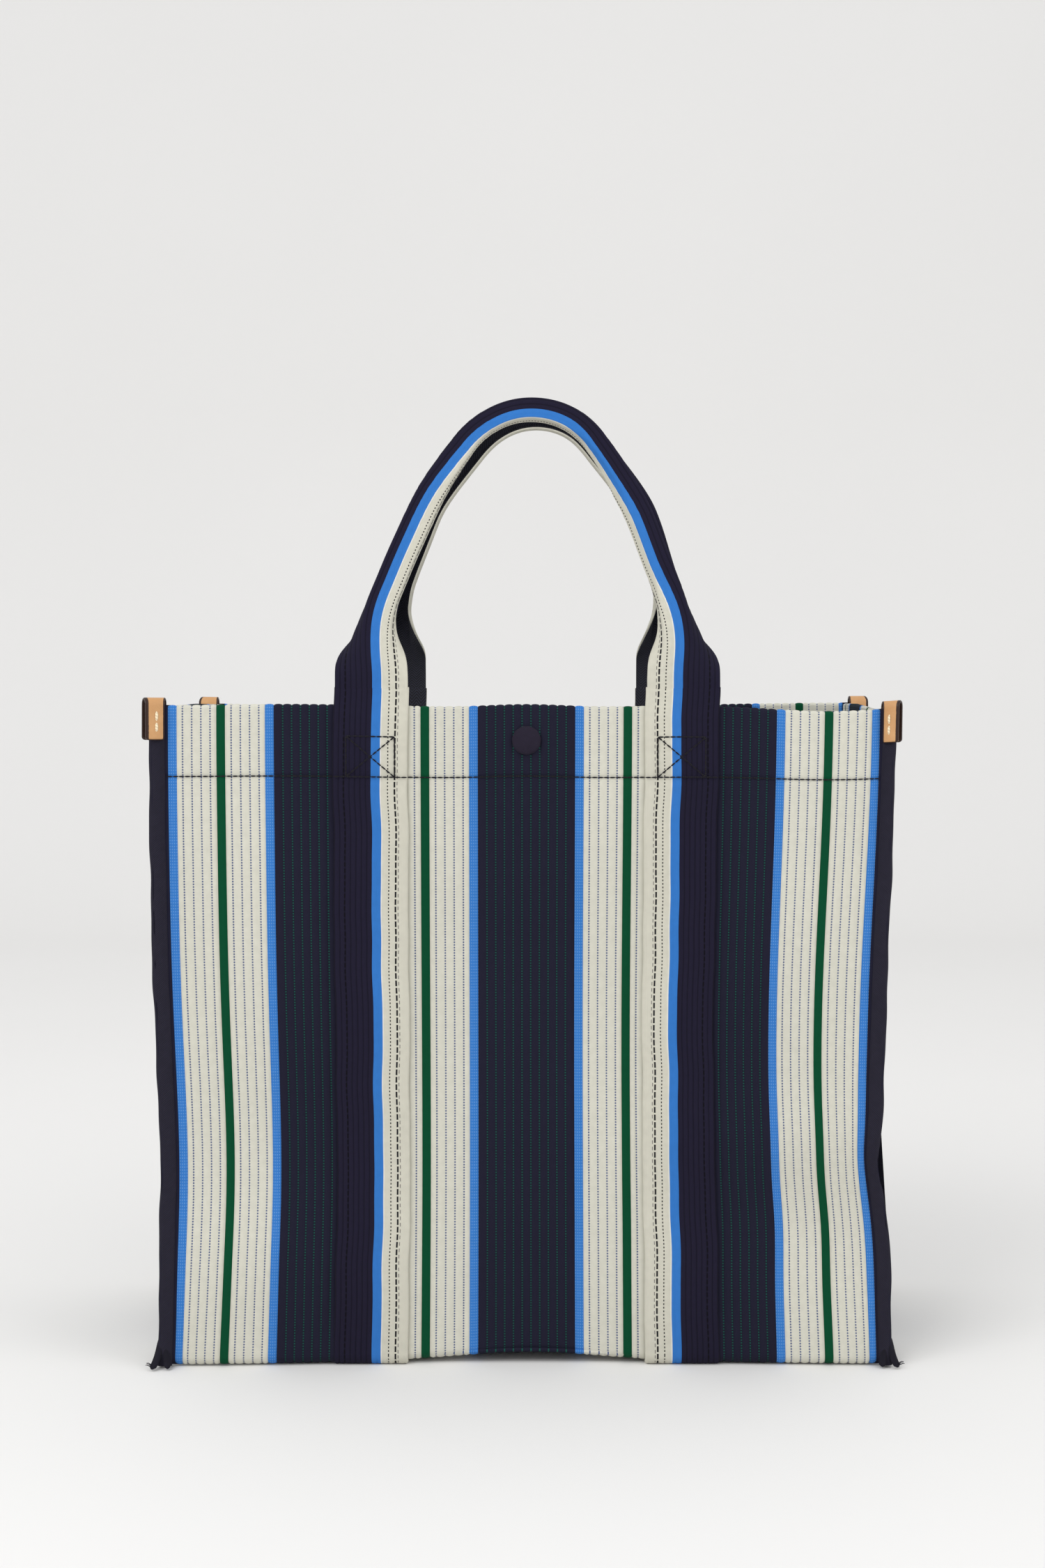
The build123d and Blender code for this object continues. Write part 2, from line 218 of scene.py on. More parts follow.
# %% The pulls and the function that places a point on a panel
PULLS = {
    # middle x, middle z, half width, half height, then the move: sideways, inwards, up
    "front": [
        (0.000, 0.170, 0.085, 0.110, 0.0000, 0.0095, 0.000),
        (-0.215, 0.095, 0.110, 0.100, 0.0056, 0.0000, 0.000),
        (-0.200, 0.000, 0.090, 0.050, -0.0004, -0.0055, 0.000),
        (-0.200, 0.356, 0.110, 0.075, -0.0008, -0.0020, 0.000),
        (0.215, 0.165, 0.110, 0.125, -0.0090, 0.0000, 0.000),
        (-0.206, 0.000, 0.018, 0.045, 0.0034, 0.0010, 0.000),
        (0.206, 0.000, 0.018, 0.060, -0.0052, 0.0010, 0.000),
        (0.208, 0.356, 0.014, 0.120, -0.0030, 0.0000, 0.000),
        (0.200, 0.000, 0.090, 0.050, 0.0000, -0.0040, 0.000),
        (0.205, 0.112, 0.014, 0.016, -0.0020, 0.0010, 0.000),
        (0.140, 0.122, 0.070, 0.022, 0.0000, -0.0046, 0.000),
        (0.150, 0.074, 0.060, 0.024, 0.0015, 0.0022, 0.000),
        (-0.135, 0.056, 0.060, 0.030, 0.0000, -0.0044, 0.000),
        (-0.150, 0.120, 0.050, 0.040, 0.0000, 0.0016, 0.000),
        (0.010, 0.045, 0.040, 0.050, 0.0000, 0.0034, 0.000),
        (0.000, 0.000, 0.058, 0.040, 0.0000, 0.0010, 0.0040),
        (0.165, 0.356, 0.050, 0.050, 0.0000, 0.0020, -0.0042),
        (-0.190, 0.356, 0.040, 0.050, 0.0000, 0.0015, -0.0010),
        (0.000, 0.356, 0.090, 0.060, 0.0000, -0.0010, -0.0024),
        (0.000, 0.356, 0.030, 0.060, 0.0000, 0.0000, 0.0019),
        (0.210, 0.105, 0.030, 0.045, -0.0040, 0.0010, 0.000),
        (0.000, 0.337, 0.030, 0.022, 0.0000, -0.0012, 0.000),
    ],
    "rear": [
        (0.010, 0.160, 0.085, 0.110, 0.0000, 0.0085, 0.000),
        (-0.215, 0.150, 0.110, 0.110, 0.0070, 0.0000, 0.000),
        (0.215, 0.130, 0.110, 0.110, -0.0068, 0.0000, 0.000),
        (-0.206, 0.000, 0.018, 0.050, 0.0034, 0.0010, 0.000),
        (0.206, 0.000, 0.018, 0.050, -0.0034, 0.0010, 0.000),
        (0.000, 0.356, 0.200, 0.110, 0.0030, 0.0000, 0.000),
        (-0.030, 0.356, 0.130, 0.080, 0.0000, 0.0000, -0.0042),
        (-0.205, 0.345, 0.060, 0.100, 0.0048, 0.0000, 0.000),
        (0.205, 0.345, 0.060, 0.100, 0.0022, 0.0000, 0.000),
        (-0.130, 0.095, 0.060, 0.026, 0.0000, -0.0042, 0.000),
        (-0.030, 0.060, 0.050, 0.036, 0.0000, 0.0036, 0.000),
        (0.140, 0.070, 0.055, 0.030, 0.0000, -0.0036, 0.000),
        (0.000, 0.000, 0.058, 0.040, 0.0000, 0.0010, 0.0036),
        (0.000, 0.337, 0.030, 0.022, 0.0000, -0.0012, 0.000),
    ],
}
SEAM_TURN = np.radians(25)
SEAM_FULLNESS = 1.2


def hang(face, x, z):
    """Sum over the pulls of move * exp(-(dx/width)^2 - (dz/height)^2)."""
    x, z = np.broadcast_arrays(np.asarray(x, float), np.asarray(z, float))
    moved = np.zeros(x.shape + (3,))
    for middle_x, middle_z, width, height, aside, inward, up in PULLS[face]:
        share = np.exp(-((x - middle_x) / width) ** 2 - ((z - middle_z) / height) ** 2)
        moved += share[..., None] * np.array([aside, inward, up])
    return moved


def on_panel(face, x, depth, z):
    """The place of a point of a panel: x and z on the flat cloth, depth inwards from its face.
    Past the seam the cloth turns outwards, more at the mouth than at the floor."""
    x, depth, z = np.broadcast_arrays(*(np.asarray(v, float) for v in (x, depth, z)))
    moved = hang(face, x, z)
    past = np.clip(np.abs(x) - SEAM_START, 0, None)
    turn = SEAM_TURN * ease(past, 0.0, 0.003) * (0.5 + 0.5 * ease(z, 0.1, HEM_TOP))
    reach, from_middle = SEAM_FULLNESS * past, depth - CLOTH
    out = np.minimum(np.abs(x), SEAM_START) + reach * np.cos(turn) + from_middle * np.sin(turn)
    x = np.where(past > 0, np.sign(x) * out, x)
    depth = CLOTH + from_middle * np.cos(turn) - reach * np.sin(turn)
    inward = -FACE + depth + moved[..., 1]
    return np.stack([x + moved[..., 0], INWARD[face] * inward, z + moved[..., 2]], -1)


# %% [markdown]
# ## The ribbed stripes
# The cloth is an ottoman weave: thick cords lie side by side under the warp, so the
# surface is a row of small rounded ribs. The stripes repeat in mirror order. So a stripe is
# found by folding the distance across the cloth: it runs from the middle of a navy
# stripe to the middle of the next thin green one, and back.

# %% Stripe sizes and the relief of the ribs
HALF_REPEAT = 0.05465
NAVY_END = 0.02615
BLUE_END = 0.03095
CREAM_END = 0.0521
RIB = 0.00475
CREAM_RIB = 0.00495
FIRST_CREAM_RIB = 0.03414
RIB_EDGES = np.concatenate([
    -RIB / 2 + RIB * np.arange(6),
    [NAVY_END, BLUE_END],
    FIRST_CREAM_RIB + CREAM_RIB * np.arange(4),
    [CREAM_END, 2 * HALF_REPEAT - CREAM_END],
])
RIB_HEIGHT = 0.0007


def folded(u):
    """Distance from the nearest navy middle: a triangle wave between 0 and HALF_REPEAT."""
    return HALF_REPEAT - np.abs(np.mod(u, 2 * HALF_REPEAT) - HALF_REPEAT)


def rib_columns(edge, per_rib=(0, 0.1, 0.3, 0.5, 0.7, 0.9)):
    """Places across the cloth, a few on each rib, between -edge and edge."""
    one_side = np.concatenate([RIB_EDGES, 2 * HALF_REPEAT - RIB_EDGES[::-1]])
    starts = np.unique(np.round(one_side, 6))
    repeats = [starts + 2 * HALF_REPEAT * n for n in range(-3, 3)]
    starts = np.unique(np.round(np.concatenate(repeats), 6))
    starts = starts[np.append(np.diff(starts) > 1e-5, True)]
    columns = starts[:-1, None] + np.diff(starts)[:, None] * np.array(per_rib)
    columns = columns.reshape(-1)
    inside = columns[np.abs(columns) < edge - 0.0004]
    return np.concatenate([[-edge], inside, [edge]])


def rib_relief(u):
    """Height of the ribs, 0 in a groove and 1 on a rib: (1 - (2 t - 1)^2)^0.6 across each."""
    m = folded(u)
    which = np.clip(np.searchsorted(RIB_EDGES, m, side="right") - 1, 0, len(RIB_EDGES) - 2)
    t = (m - RIB_EDGES[which]) / (RIB_EDGES[which + 1] - RIB_EDGES[which])
    return np.clip(1 - (2 * t - 1) ** 2, 0, 1) ** 0.6


columns = rib_columns(CLOTH_EDGE)
print("columns across a panel:", len(columns))

# %% [markdown]
# ## Nodes as formulas
# A material is a formula too. Each node below is one step of arithmetic on the piece's own UV
# map, which holds metres across and along the cloth. A tiny builder keeps that readable: it
# adds a Math node, feeds it, and hands back its output.

# %% A small node builder
class Nodes:
    """Adds nodes to a node tree and joins them up."""

    def __init__(self, tree):
        self.tree = tree

    def add(self, kind, inputs=(), **settings):
        """A node of a kind. inputs are (socket, value or output) pairs."""
        node = self.tree.nodes.new(kind)
        for key, value in settings.items():
            setattr(node, key, value)
        for socket, value in inputs:
            if isinstance(value, bpy.types.NodeSocket):
                self.tree.links.new(value, node.inputs[socket])
            else:
                node.inputs[socket].default_value = value
        return node

    def math(self, operation, *values):
        """One Math node on one to three numbers or outputs."""
        return self.add("ShaderNodeMath", enumerate(values), operation=operation).outputs[0]

    def split(self, vector):
        """The separate numbers of a vector."""
        return self.add("ShaderNodeSeparateXYZ", [(0, vector)]).outputs

    def mix(self, share, a, b, blend="MIX"):
        """A colour between a and b."""
        node = self.add("ShaderNodeMix", [(0, share), (6, a), (7, b)], data_type="RGBA", blend_type=blend)
        return node.outputs[2]

    def shaded(self, colour, shade):
        """A colour times a grey shade."""
        grey = self.add("ShaderNodeCombineColor", [(0, shade), (1, shade), (2, shade)]).outputs[0]
        return self.mix(1.0, colour, grey, "MULTIPLY")

    def below(self, value, limit, soft):
        """1 where value is well below limit and 0 above it, with a soft edge."""
        ends = [("From Min", limit - soft), ("From Max", limit + soft), ("To Min", 1.0), ("To Max", 0.0)]
        return self.add("ShaderNodeMapRange", [("Value", value)] + ends).outputs[0]

    def wave(self, value, length):
        """A sine wave of a length, between 0 and 1."""
        turn = self.math("MULTIPLY", value, 2 * np.pi / length)
        return self.math("MULTIPLY_ADD", self.math("SINE", turn), 0.5, 0.5)

    def noise(self, vector, scale, detail=3.0):
        """Soft noise, about 0.5."""
        inputs = [("Vector", vector), ("Scale", scale), ("Detail", detail)]
        return self.add("ShaderNodeTexNoise", inputs).outputs[0]


def linear(red, green, blue):
    """A screen colour, 0 to 255, as the linear colour that Blender's nodes work in."""
    c = np.array([red, green, blue]) / 255
    c = np.where(c < 0.04045, c / 12.92, ((c + 0.055) / 1.055) ** 2.4)
    return (*c.tolist(), 1.0)


CREAM = linear(212, 210, 196)
GREEN = linear(2, 72, 44)
BLUE = linear(54, 120, 197)
NAVY = linear(31, 30, 47)
BLACK = linear(22, 20, 27)
WHITE = linear(226, 224, 214)
BLUE_DOT = linear(66, 84, 128)
GREEN_DOT = linear(30, 92, 80)
BLUE_SPECK = linear(150, 190, 226)
# Painted shade for the grooves between the navy ribs.
NAVY_GROOVE_SHADE = linear(18, 17, 28)

# %% [markdown]
# ## Weave: one group for every cloth
# All the cloths share their finest detail: threads that cross. The group takes the spacing of
# the threads across and along, and puts out a height for the bump and a shade that darkens
# the gaps. Each material then uses its own spacing. A group with named sockets is made once
# and placed many times, so a change here reaches every cloth.

# %% The weave group
def group(name, inputs, outputs):
    """An empty shader node group with named sockets, its input node and its output node."""
    tree = bpy.data.node_groups.new(name, "ShaderNodeTree")
    for label, kind, value in inputs:
        socket = tree.interface.new_socket(label, in_out="INPUT", socket_type=kind)
        if value is not None:
            socket.default_value = value
    for label, kind in outputs:
        tree.interface.new_socket(label, in_out="OUTPUT", socket_type=kind)
    build = Nodes(tree)
    return tree, build, build.add("NodeGroupInput"), build.add("NodeGroupOutput")


def weave_group():
    """Crossing threads: the height is the product of two waves, so a thread dips where
    the other passes over it."""
    inputs = [("Cloth", "NodeSocketVector", None), ("Thread across", "NodeSocketFloat", 0.0008)]
    inputs += [("Thread along", "NodeSocketFloat", 0.0006), ("Unevenness", "NodeSocketFloat", 0.25)]
    outputs = [("Height", "NodeSocketFloat"), ("Shade", "NodeSocketFloat")]
    tree, build, given, result = group("thread_weave", inputs, outputs)
    uv = build.split(given.outputs["Cloth"])
    turns = []
    for axis, spacing in ((0, "Thread across"), (1, "Thread along")):
        turn = build.math("DIVIDE", uv[axis], given.outputs[spacing])
        turns.append(build.math("MULTIPLY", turn, 2 * np.pi))
    waves = build.math("MULTIPLY", build.math("SINE", turns[0]), build.math("SINE", turns[1]))
    uneven = build.math("SUBTRACT", build.noise(given.outputs["Cloth"], 260.0), 0.5)
    uneven = build.math("MULTIPLY", uneven, given.outputs["Unevenness"])
    height = build.math("ADD", build.math("MULTIPLY_ADD", waves, 0.5, 0.5), uneven)
    shade = build.math("MULTIPLY_ADD", height, 0.16, 0.88)
    shade = build.math("ADD", shade, build.math("MULTIPLY", uneven, 0.5))
    build.tree.links.new(height, result.inputs["Height"])
    build.tree.links.new(shade, result.inputs["Shade"])
    return tree


WEAVE = weave_group()


def weave(build, cloth, across, along, unevenness=0.25):
    """The weave group placed in a material."""
    node = build.add("ShaderNodeGroup", node_tree=WEAVE)
    build.tree.links.new(cloth, node.inputs["Cloth"])
    node.inputs["Thread across"].default_value = across
    node.inputs["Thread along"].default_value = along
    node.inputs["Unevenness"].default_value = unevenness
    return node.outputs["Height"], node.outputs["Shade"]


def material(name, roughness=0.85, metallic=0.0, specular=0.1, sheen=0.0):
    """A new material: its builder, its Principled shader and the coordinates of a piece."""
    made = bpy.data.materials.new(name)
    made.use_nodes = True
    made.node_tree.nodes.clear()
    build = Nodes(made.node_tree)
    fixed = [("Roughness", roughness), ("Metallic", metallic), ("Specular IOR Level", specular)]
    shader = build.add("ShaderNodeBsdfPrincipled", fixed + [("Sheen Weight", sheen)])
    output = build.add("ShaderNodeOutputMaterial")
    build.tree.links.new(shader.outputs[0], output.inputs[0])
    place = build.add("ShaderNodeTexCoord")
    return made, build, shader, place


def surface(build, shader, colour, height=None, depth=0.0002, roughness=None):
    """Feeds a colour, a bump of a depth in metres and a roughness to the shader."""
    build.tree.links.new(colour, shader.inputs["Base Color"])
    if height is not None:
        bump = build.add("ShaderNodeBump", [("Height", height), ("Distance", depth), ("Strength", 1.0)])
        build.tree.links.new(bump.outputs[0], shader.inputs["Normal"])
    if roughness is not None:
        build.tree.links.new(roughness, shader.inputs["Roughness"])


# %% [markdown]
# ## The striped cloth
# The stripes are a ramp over the folded distance across the cloth. In the grooves between
# the ribs lies a fine dotted line, where the binding warp shows: blue on the cream, and a
# dull green on the navy. A second, slower noise makes the colour a little uneven, as
# dyed cotton is.

# %% The striped cloth's material
def stripe_ramp(build, value, length, stops):
    """Hard-edged stripes: each stop is (where it starts, colour)."""
    share = build.math("DIVIDE", value, length)
    ramp = build.add("ShaderNodeValToRGB", [(0, share)])
    ramp.color_ramp.interpolation = "CONSTANT"
    while len(ramp.color_ramp.elements) < len(stops):
        ramp.color_ramp.elements.new(0.5)
    for element, (start, colour) in zip(ramp.color_ramp.elements, stops):
        element.position = start / length
    for element, (start, colour) in zip(ramp.color_ramp.elements, stops):
        element.color = colour
    return ramp.outputs[0]


def dots(build, distance, along, width, pitch, share=0.0):
    """A dotted line: near the middle of a groove, and on the high half of a wave along it."""
    line = build.below(distance, width, width / 3)
    beat = build.math("GREATER_THAN", build.wave(along, pitch), 0.5 + share)
    return build.math("MULTIPLY", line, beat)


def striped_cloth():
    """Navy, blue, cream and green ribs, with dotted lines in the grooves and painted shade in the navy
    grooves.
    """
    made, build, shader, place = material("striped_cloth", roughness=0.88, sheen=0.015)
    cloth = place.outputs["UV"]
    uv = build.split(cloth)
    across, along = uv[0], uv[1]
    m = build.math("PINGPONG", across, HALF_REPEAT)
    stops = [(0, NAVY), (NAVY_END, BLUE), (BLUE_END, CREAM), (CREAM_END, GREEN)]
    colour = stripe_ramp(build, m, HALF_REPEAT, stops)
    past_blue = build.math("GREATER_THAN", m, BLUE_END)
    cream = build.math("MULTIPLY", past_blue, build.below(m, CREAM_END, 0.0001))
    navy = build.below(m, NAVY_END - 0.001, 0.0001)
    blue = build.math("SUBTRACT", build.below(m, BLUE_END, 0.0001), build.below(m, NAVY_END, 0.0001))
    to_cream = build.math("PINGPONG", build.math("SUBTRACT", m, FIRST_CREAM_RIB), CREAM_RIB / 2)
    to_navy = build.math("PINGPONG", build.math("SUBTRACT", m, RIB / 2), RIB / 2)
    light = build.math("MULTIPLY", build.below(to_cream, 0.0006, 0.0001), cream)
    colour = build.mix(build.math("MULTIPLY", light, 0.5), colour, WHITE)
    marks = build.math("MULTIPLY", dots(build, to_cream, along, 0.0004, 0.00145, -0.14), cream)
    colour = build.mix(build.math("MULTIPLY", marks, 0.95), colour, BLUE_DOT)
    # Painted shade: the grooves between the navy ribs are darkened, as if in shadow.
    groove = build.math("MULTIPLY", build.below(to_navy, 0.0005, 0.0003), navy)
    colour = build.mix(build.math("MULTIPLY", groove, 0.45), colour, NAVY_GROOVE_SHADE)
    marks = build.math("MULTIPLY", dots(build, to_navy, along, 0.00036, 0.00145), navy)
    colour = build.mix(build.math("MULTIPLY", marks, 0.8), colour, GREEN_DOT)
    check = build.math("MULTIPLY", build.wave(across, 0.0012), build.wave(along, 0.0016))
    speck = build.math("MULTIPLY", build.math("GREATER_THAN", check, 0.45), blue)
    colour = build.mix(build.math("MULTIPLY", speck, 0.3), colour, BLUE_SPECK)
    height, shade = weave(build, cloth, 0.0007, 0.0009)
    worn = build.math("MULTIPLY_ADD", build.noise(cloth, 9.0), 0.16, 0.92)
    shade = build.math("MULTIPLY", shade, worn)
    colour = build.shaded(colour, shade)
    rough = build.math("MULTIPLY_ADD", height, 0.12, 0.8)
    surface(build, shader, colour, height, 0.00016, rough)
    return made


STRIPED = striped_cloth()

# %% [markdown]
# ## Front and rear panel
# A panel is one cloth: up the outside, over at the mouth, and down inside as a hem. Seen from
# its side that is a single closed loop, and the panel is that loop carried along the bag,
# with one step for each place across the ribs. The ribs stand proud on the outside and more
# faintly on the inside. At its foot the cloth turns under, to where it is sewn to the base.

# %% The panels
TOE_RADIUS = 0.0055
TOE_UNDER = 0.0006
HEM_SIDE = 1.3 * CLOTH


def panel_loop():
    """The loop seen from the side: (depth inwards, z), with how proud its ribs stand
    and how far along the cloth each point lies."""
    foot, thick, top = TOE_UNDER, CLOTH, HEM_TOP
    under = arc(TOE_RADIUS, foot + TOE_RADIUS, TOE_RADIUS, 258, 186, 9)
    near_stitches = (HEM_FOOT - 0.003, 8, HEM_FOOT + 0.003)
    up = spaced(foot + TOE_RADIUS, 5, 0.02, 46, 0.30, 8, *near_stitches, 12, top - 0.003)
    outer = np.concatenate([under, np.stack([np.zeros_like(up), up], -1)])
    outer[:, 0] += 0.0005 * np.exp(-((outer[:, 1] - HEM_FOOT) / 0.0011) ** 2)
    bend = arc(thick, top - thick - 0.0002, thick, 180, 0, 13)
    down = spaced(top - 0.0035, 8, HEM_FOOT)
    hem = np.stack([np.full_like(down, 2 * thick), down], -1)
    step = np.array([[2 * thick - 0.0003, HEM_FOOT - 0.0006], [thick + 0.0002, HEM_FOOT - 0.0008]])
    low = spaced(HEM_FOOT - 0.003, 8, 0.27, 34, foot + TOE_RADIUS)
    inner = np.stack([np.full_like(low, thick), low], -1)
    toe = arc(TOE_RADIUS, foot + TOE_RADIUS, TOE_RADIUS - thick, 186, 258, 9)
    loop = np.concatenate([outer, bend, hem, step, inner, toe])
    proud = np.full(len(loop), 0.3)
    proud[:len(outer) + 9] = 1.0
    proud[len(outer) + 9:len(outer) + 13] = 0.7
    return loop, proud


def make_panel(face):
    """The panel's loop carried across the cloth, with ribs, then hung by its pulls."""
    loop, proud = panel_loop()
    onward = np.roll(loop, -1, 0) - np.roll(loop, 1, 0)
    normal = unit(np.stack([-onward[:, 1], onward[:, 0]], -1))
    high = RIB_HEIGHT * (rib_relief(columns) - 0.6)
    depth = loop[None, :, 0] + high[:, None] * proud * normal[None, :, 0]
    z = loop[None, :, 1] + high[:, None] * proud * normal[None, :, 1]
    hem_side = depth > HEM_SIDE
    x = np.where(hem_side, np.clip(columns[:, None], -HEM_EDGE, HEM_EDGE), columns[:, None])
    rings = on_panel(face, x, depth, z)
    uv = both(columns[:, None], round_lengths(loop)[None, :])
    piece = tube_mesh(f"{face}_panel_cloth", rings, uv)
    finish_piece(piece, STRIPED, f"{face}_panel", [f"{face}_panel"])
    return piece


for face in FACES:
    make_panel(face)

# %% [markdown]
# ## Gussets
# Each side is closed by a gusset with a crease down its middle, so that it folds inwards when
# the mouth closes. Here each half is a separate cloth that starts at the seam, where it
# must follow the hanging panel, and ends at the crease, which is drawn in a little. The two
# halves meet there. Each half takes its panel's hang fully at the seam and less towards the crease.

# %% The gusset halves
GUSSET_OUT = gusset_low.x + 2 * CLOTH
CREASE_IN = 0.0024


def gusset_columns():
    """Places across a gusset half, a few on each rib, measured from the crease."""
    reach = FACE - 0.0026
    across = rib_columns(0.12)
    across = across[(across > 0.0002) & (across < reach - 0.0002)]
    return np.concatenate([[0.0], across, [reach]])


def gusset_loop():
    """The loop seen from the front: (inwards from the outer face, z) and its rib share."""
    foot, top, thick = gusset_low.z, HEM_TOP - 0.0006, CLOTH
    up = spaced(foot, 40, top - 0.004)
    outer = np.stack([np.zeros_like(up), up], -1)
    bend = arc(thick, top - thick, thick, 180, 0, 9)
    down = spaced(top - 0.004, 8, HEM_FOOT)
    hem = np.stack([np.full_like(down, 2 * thick), down], -1)
    low = spaced(HEM_FOOT - 0.001, 36, foot)
    inner = np.stack([np.full_like(low, thick), low], -1)
    loop = np.concatenate([outer, bend, hem, inner])
    proud = np.where(np.arange(len(loop)) < len(outer) + 6, 1.0, 0.3)
    return loop, proud


def make_gusset(face, side):
    """The loop carried from the seam to the crease."""
    sign = SIGN[side]
    turn = INWARD[face]
    loop, proud = gusset_loop()
    from_crease = gusset_columns()
    high = RIB_HEIGHT * (rib_relief(from_crease) - 0.6)
    inwards = loop[None, :, 0] - high[:, None] * proud
    z = np.broadcast_to(loop[None, :, 1], inwards.shape)
    share = from_crease[:, None] / from_crease[-1]
    moved = hang(face, sign * CLOTH_EDGE, z)
    drawn = CREASE_IN * (1 - share ** 1.6) * ease(z, 0.0, 0.22) * (1 - 0.25 * ease(z, 0.25, HEM_TOP))
    wave = 0.0006 * ripple(z, 0.16, 1.0 + sign) * (1 - share) * ease(z, 0.0, 0.08)
    x = sign * (GUSSET_OUT - inwards - drawn - wave) + moved[..., 0] * share
    y = turn * (-(from_crease[:, None] + 0 * z) + moved[..., 1] * share ** 2)
    rings = np.stack([x, y, z + moved[..., 2] * share], -1)
    uv = both(from_crease[:, None], round_lengths(loop)[None, :])
    piece = tube_mesh(f"{face}_{side}_gusset_cloth", rings, uv)
    finish_piece(piece, STRIPED, None, [f"{face}_{side}_gusset"])
    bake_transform(piece)


for face in FACES:
    for side in SIDES:
        make_gusset(face, side)

# %% [markdown]
# ## Binding tape
# The raw edges of panel and gusset are wrapped in a folded tape. Seen from above it is a thin
# letter U round the edge, carried from the floor to the mouth. A tape sewn by hand is never
# quite straight, so its edge wanders by a few tenths of a millimetre, and it stands a
# little fuller between its stitches.

# %% The tape's material and the side seams
def tape_cloth():
    """Fine black-navy twill: slanted waves, with a faint sheen."""
    made, build, shader, place = material("binding_tape", roughness=0.8, sheen=0.02)
    cloth = place.outputs["UV"]
    uv = build.split(cloth)
    slant = build.math("ADD", uv[0], uv[1])
    twill = build.wave(slant, 0.0011)
    height, shade = weave(build, cloth, 0.0007, 0.0007, 0.5)
    shade = build.math("MULTIPLY", shade, build.math("MULTIPLY_ADD", twill, 0.5, 0.75))
    colour = build.shaded(linear(38, 36, 48), shade)
    height = build.math("ADD", height, twill)
    surface(build, shader, colour, height, 0.0001)
    return made


TAPE_CLOTH = tape_cloth()
TAPE = 0.0008


def binding_loop():
    """The U seen from above: (x, depth inwards), outside first, then back along its inside."""
    inner_r = CLOTH
    outer_r = inner_r + TAPE
    edge, start, middle = SEAM_EDGE, SEAM_START, CLOTH
    flat = spaced(start, 4, edge - outer_r)
    front = np.stack([flat, np.full_like(flat, middle - outer_r)], -1)
    outside = arc(edge - outer_r, middle, outer_r, -90, 90, 10)[1:-1]
    rear = np.stack([flat[::-1], np.full_like(flat, middle + outer_r)], -1)
    lower = np.stack([flat, np.full_like(flat, middle + inner_r)], -1)
    inside = arc(edge - outer_r, middle, inner_r, 90, -90, 10)[1:-1]
    upper = np.stack([flat[::-1], np.full_like(flat, middle - inner_r)], -1)
    return np.concatenate([front, outside, rear, lower, inside, upper])


def make_binding(face, side):
    """The U carried up the seam."""
    sign = SIGN[side]
    loop = binding_loop()
    z = spaced(seam_low.z, 120, HEM_TOP - 0.001)
    seed = sign + (2 if face == "front" else 5)
    wander = 0.0005 * ripple(z, 0.07, seed)
    fuller = 0.00015 * np.sin(2 * np.pi * z / 0.0034)
    grow = 1 + (wander[:, None] * (loop[:, 0] > SEAM_START + 0.001)) * 60
    x = SEAM_START + (loop[None, :, 0] - SEAM_START) * grow + 0.4 * wander[:, None]
    depth = CLOTH + (loop[None, :, 1] - CLOTH) * (1.0 + fuller[:, None] * 400)
    rings = on_panel(face, sign * x, depth, z[:, None])
    uv = both(round_lengths(loop)[None, :], z[:, None])
    piece = tube_mesh(f"{face}_{side}_binding_tape", rings, uv)
    finish_piece(piece, TAPE_CLOTH, f"{face}_panel", [f"{face}_{side}_binding"])


for face in FACES:
    for side in SIDES:
        make_binding(face, side)

# %% [markdown]
# ### Loose ends
# Below the last stitch the tape is only cut off, so a short tail is left at each corner. It
# bends out and rests on the floor. A tail is a flattened tube along a curve of three points,
# and a few loose threads are the same formula with a smaller section.

# %% Tails and loose threads
def tail_path(points, count=14):
    """A quadratic curve: (1-t)^2 a + 2 t (1-t) b + t^2 c."""
    t = np.linspace(0, 1, count)[:, None]
    a, b, c = (np.array(p) for p in points)
    return (1 - t) ** 2 * a + 2 * t * (1 - t) * b + t ** 2 * c


def along_path(path, wide, thick, ends=0.35):
    """Ellipses square to a path, smaller at both ends. Their wide way is level."""
    tangent = unit(np.gradient(path, axis=0))
    level = unit(np.cross(tangent, [0.0, 0.0, 1.0]) + 1e-6)
    other = np.cross(level, tangent)
    t = np.linspace(0, 1, len(path))
    size = ends + (1 - ends) * np.sqrt(np.clip(1 - (2 * t - 1) ** 6, 0, 1))
    turn = np.linspace(0, 2 * np.pi, 12, endpoint=False)
    aside = (wide / 2 * size)[:, None] * np.cos(turn)
    out = (thick / 2 * size)[:, None] * np.sin(turn)
    return path[:, None] + aside[..., None] * level[:, None] + out[..., None] * other[:, None]


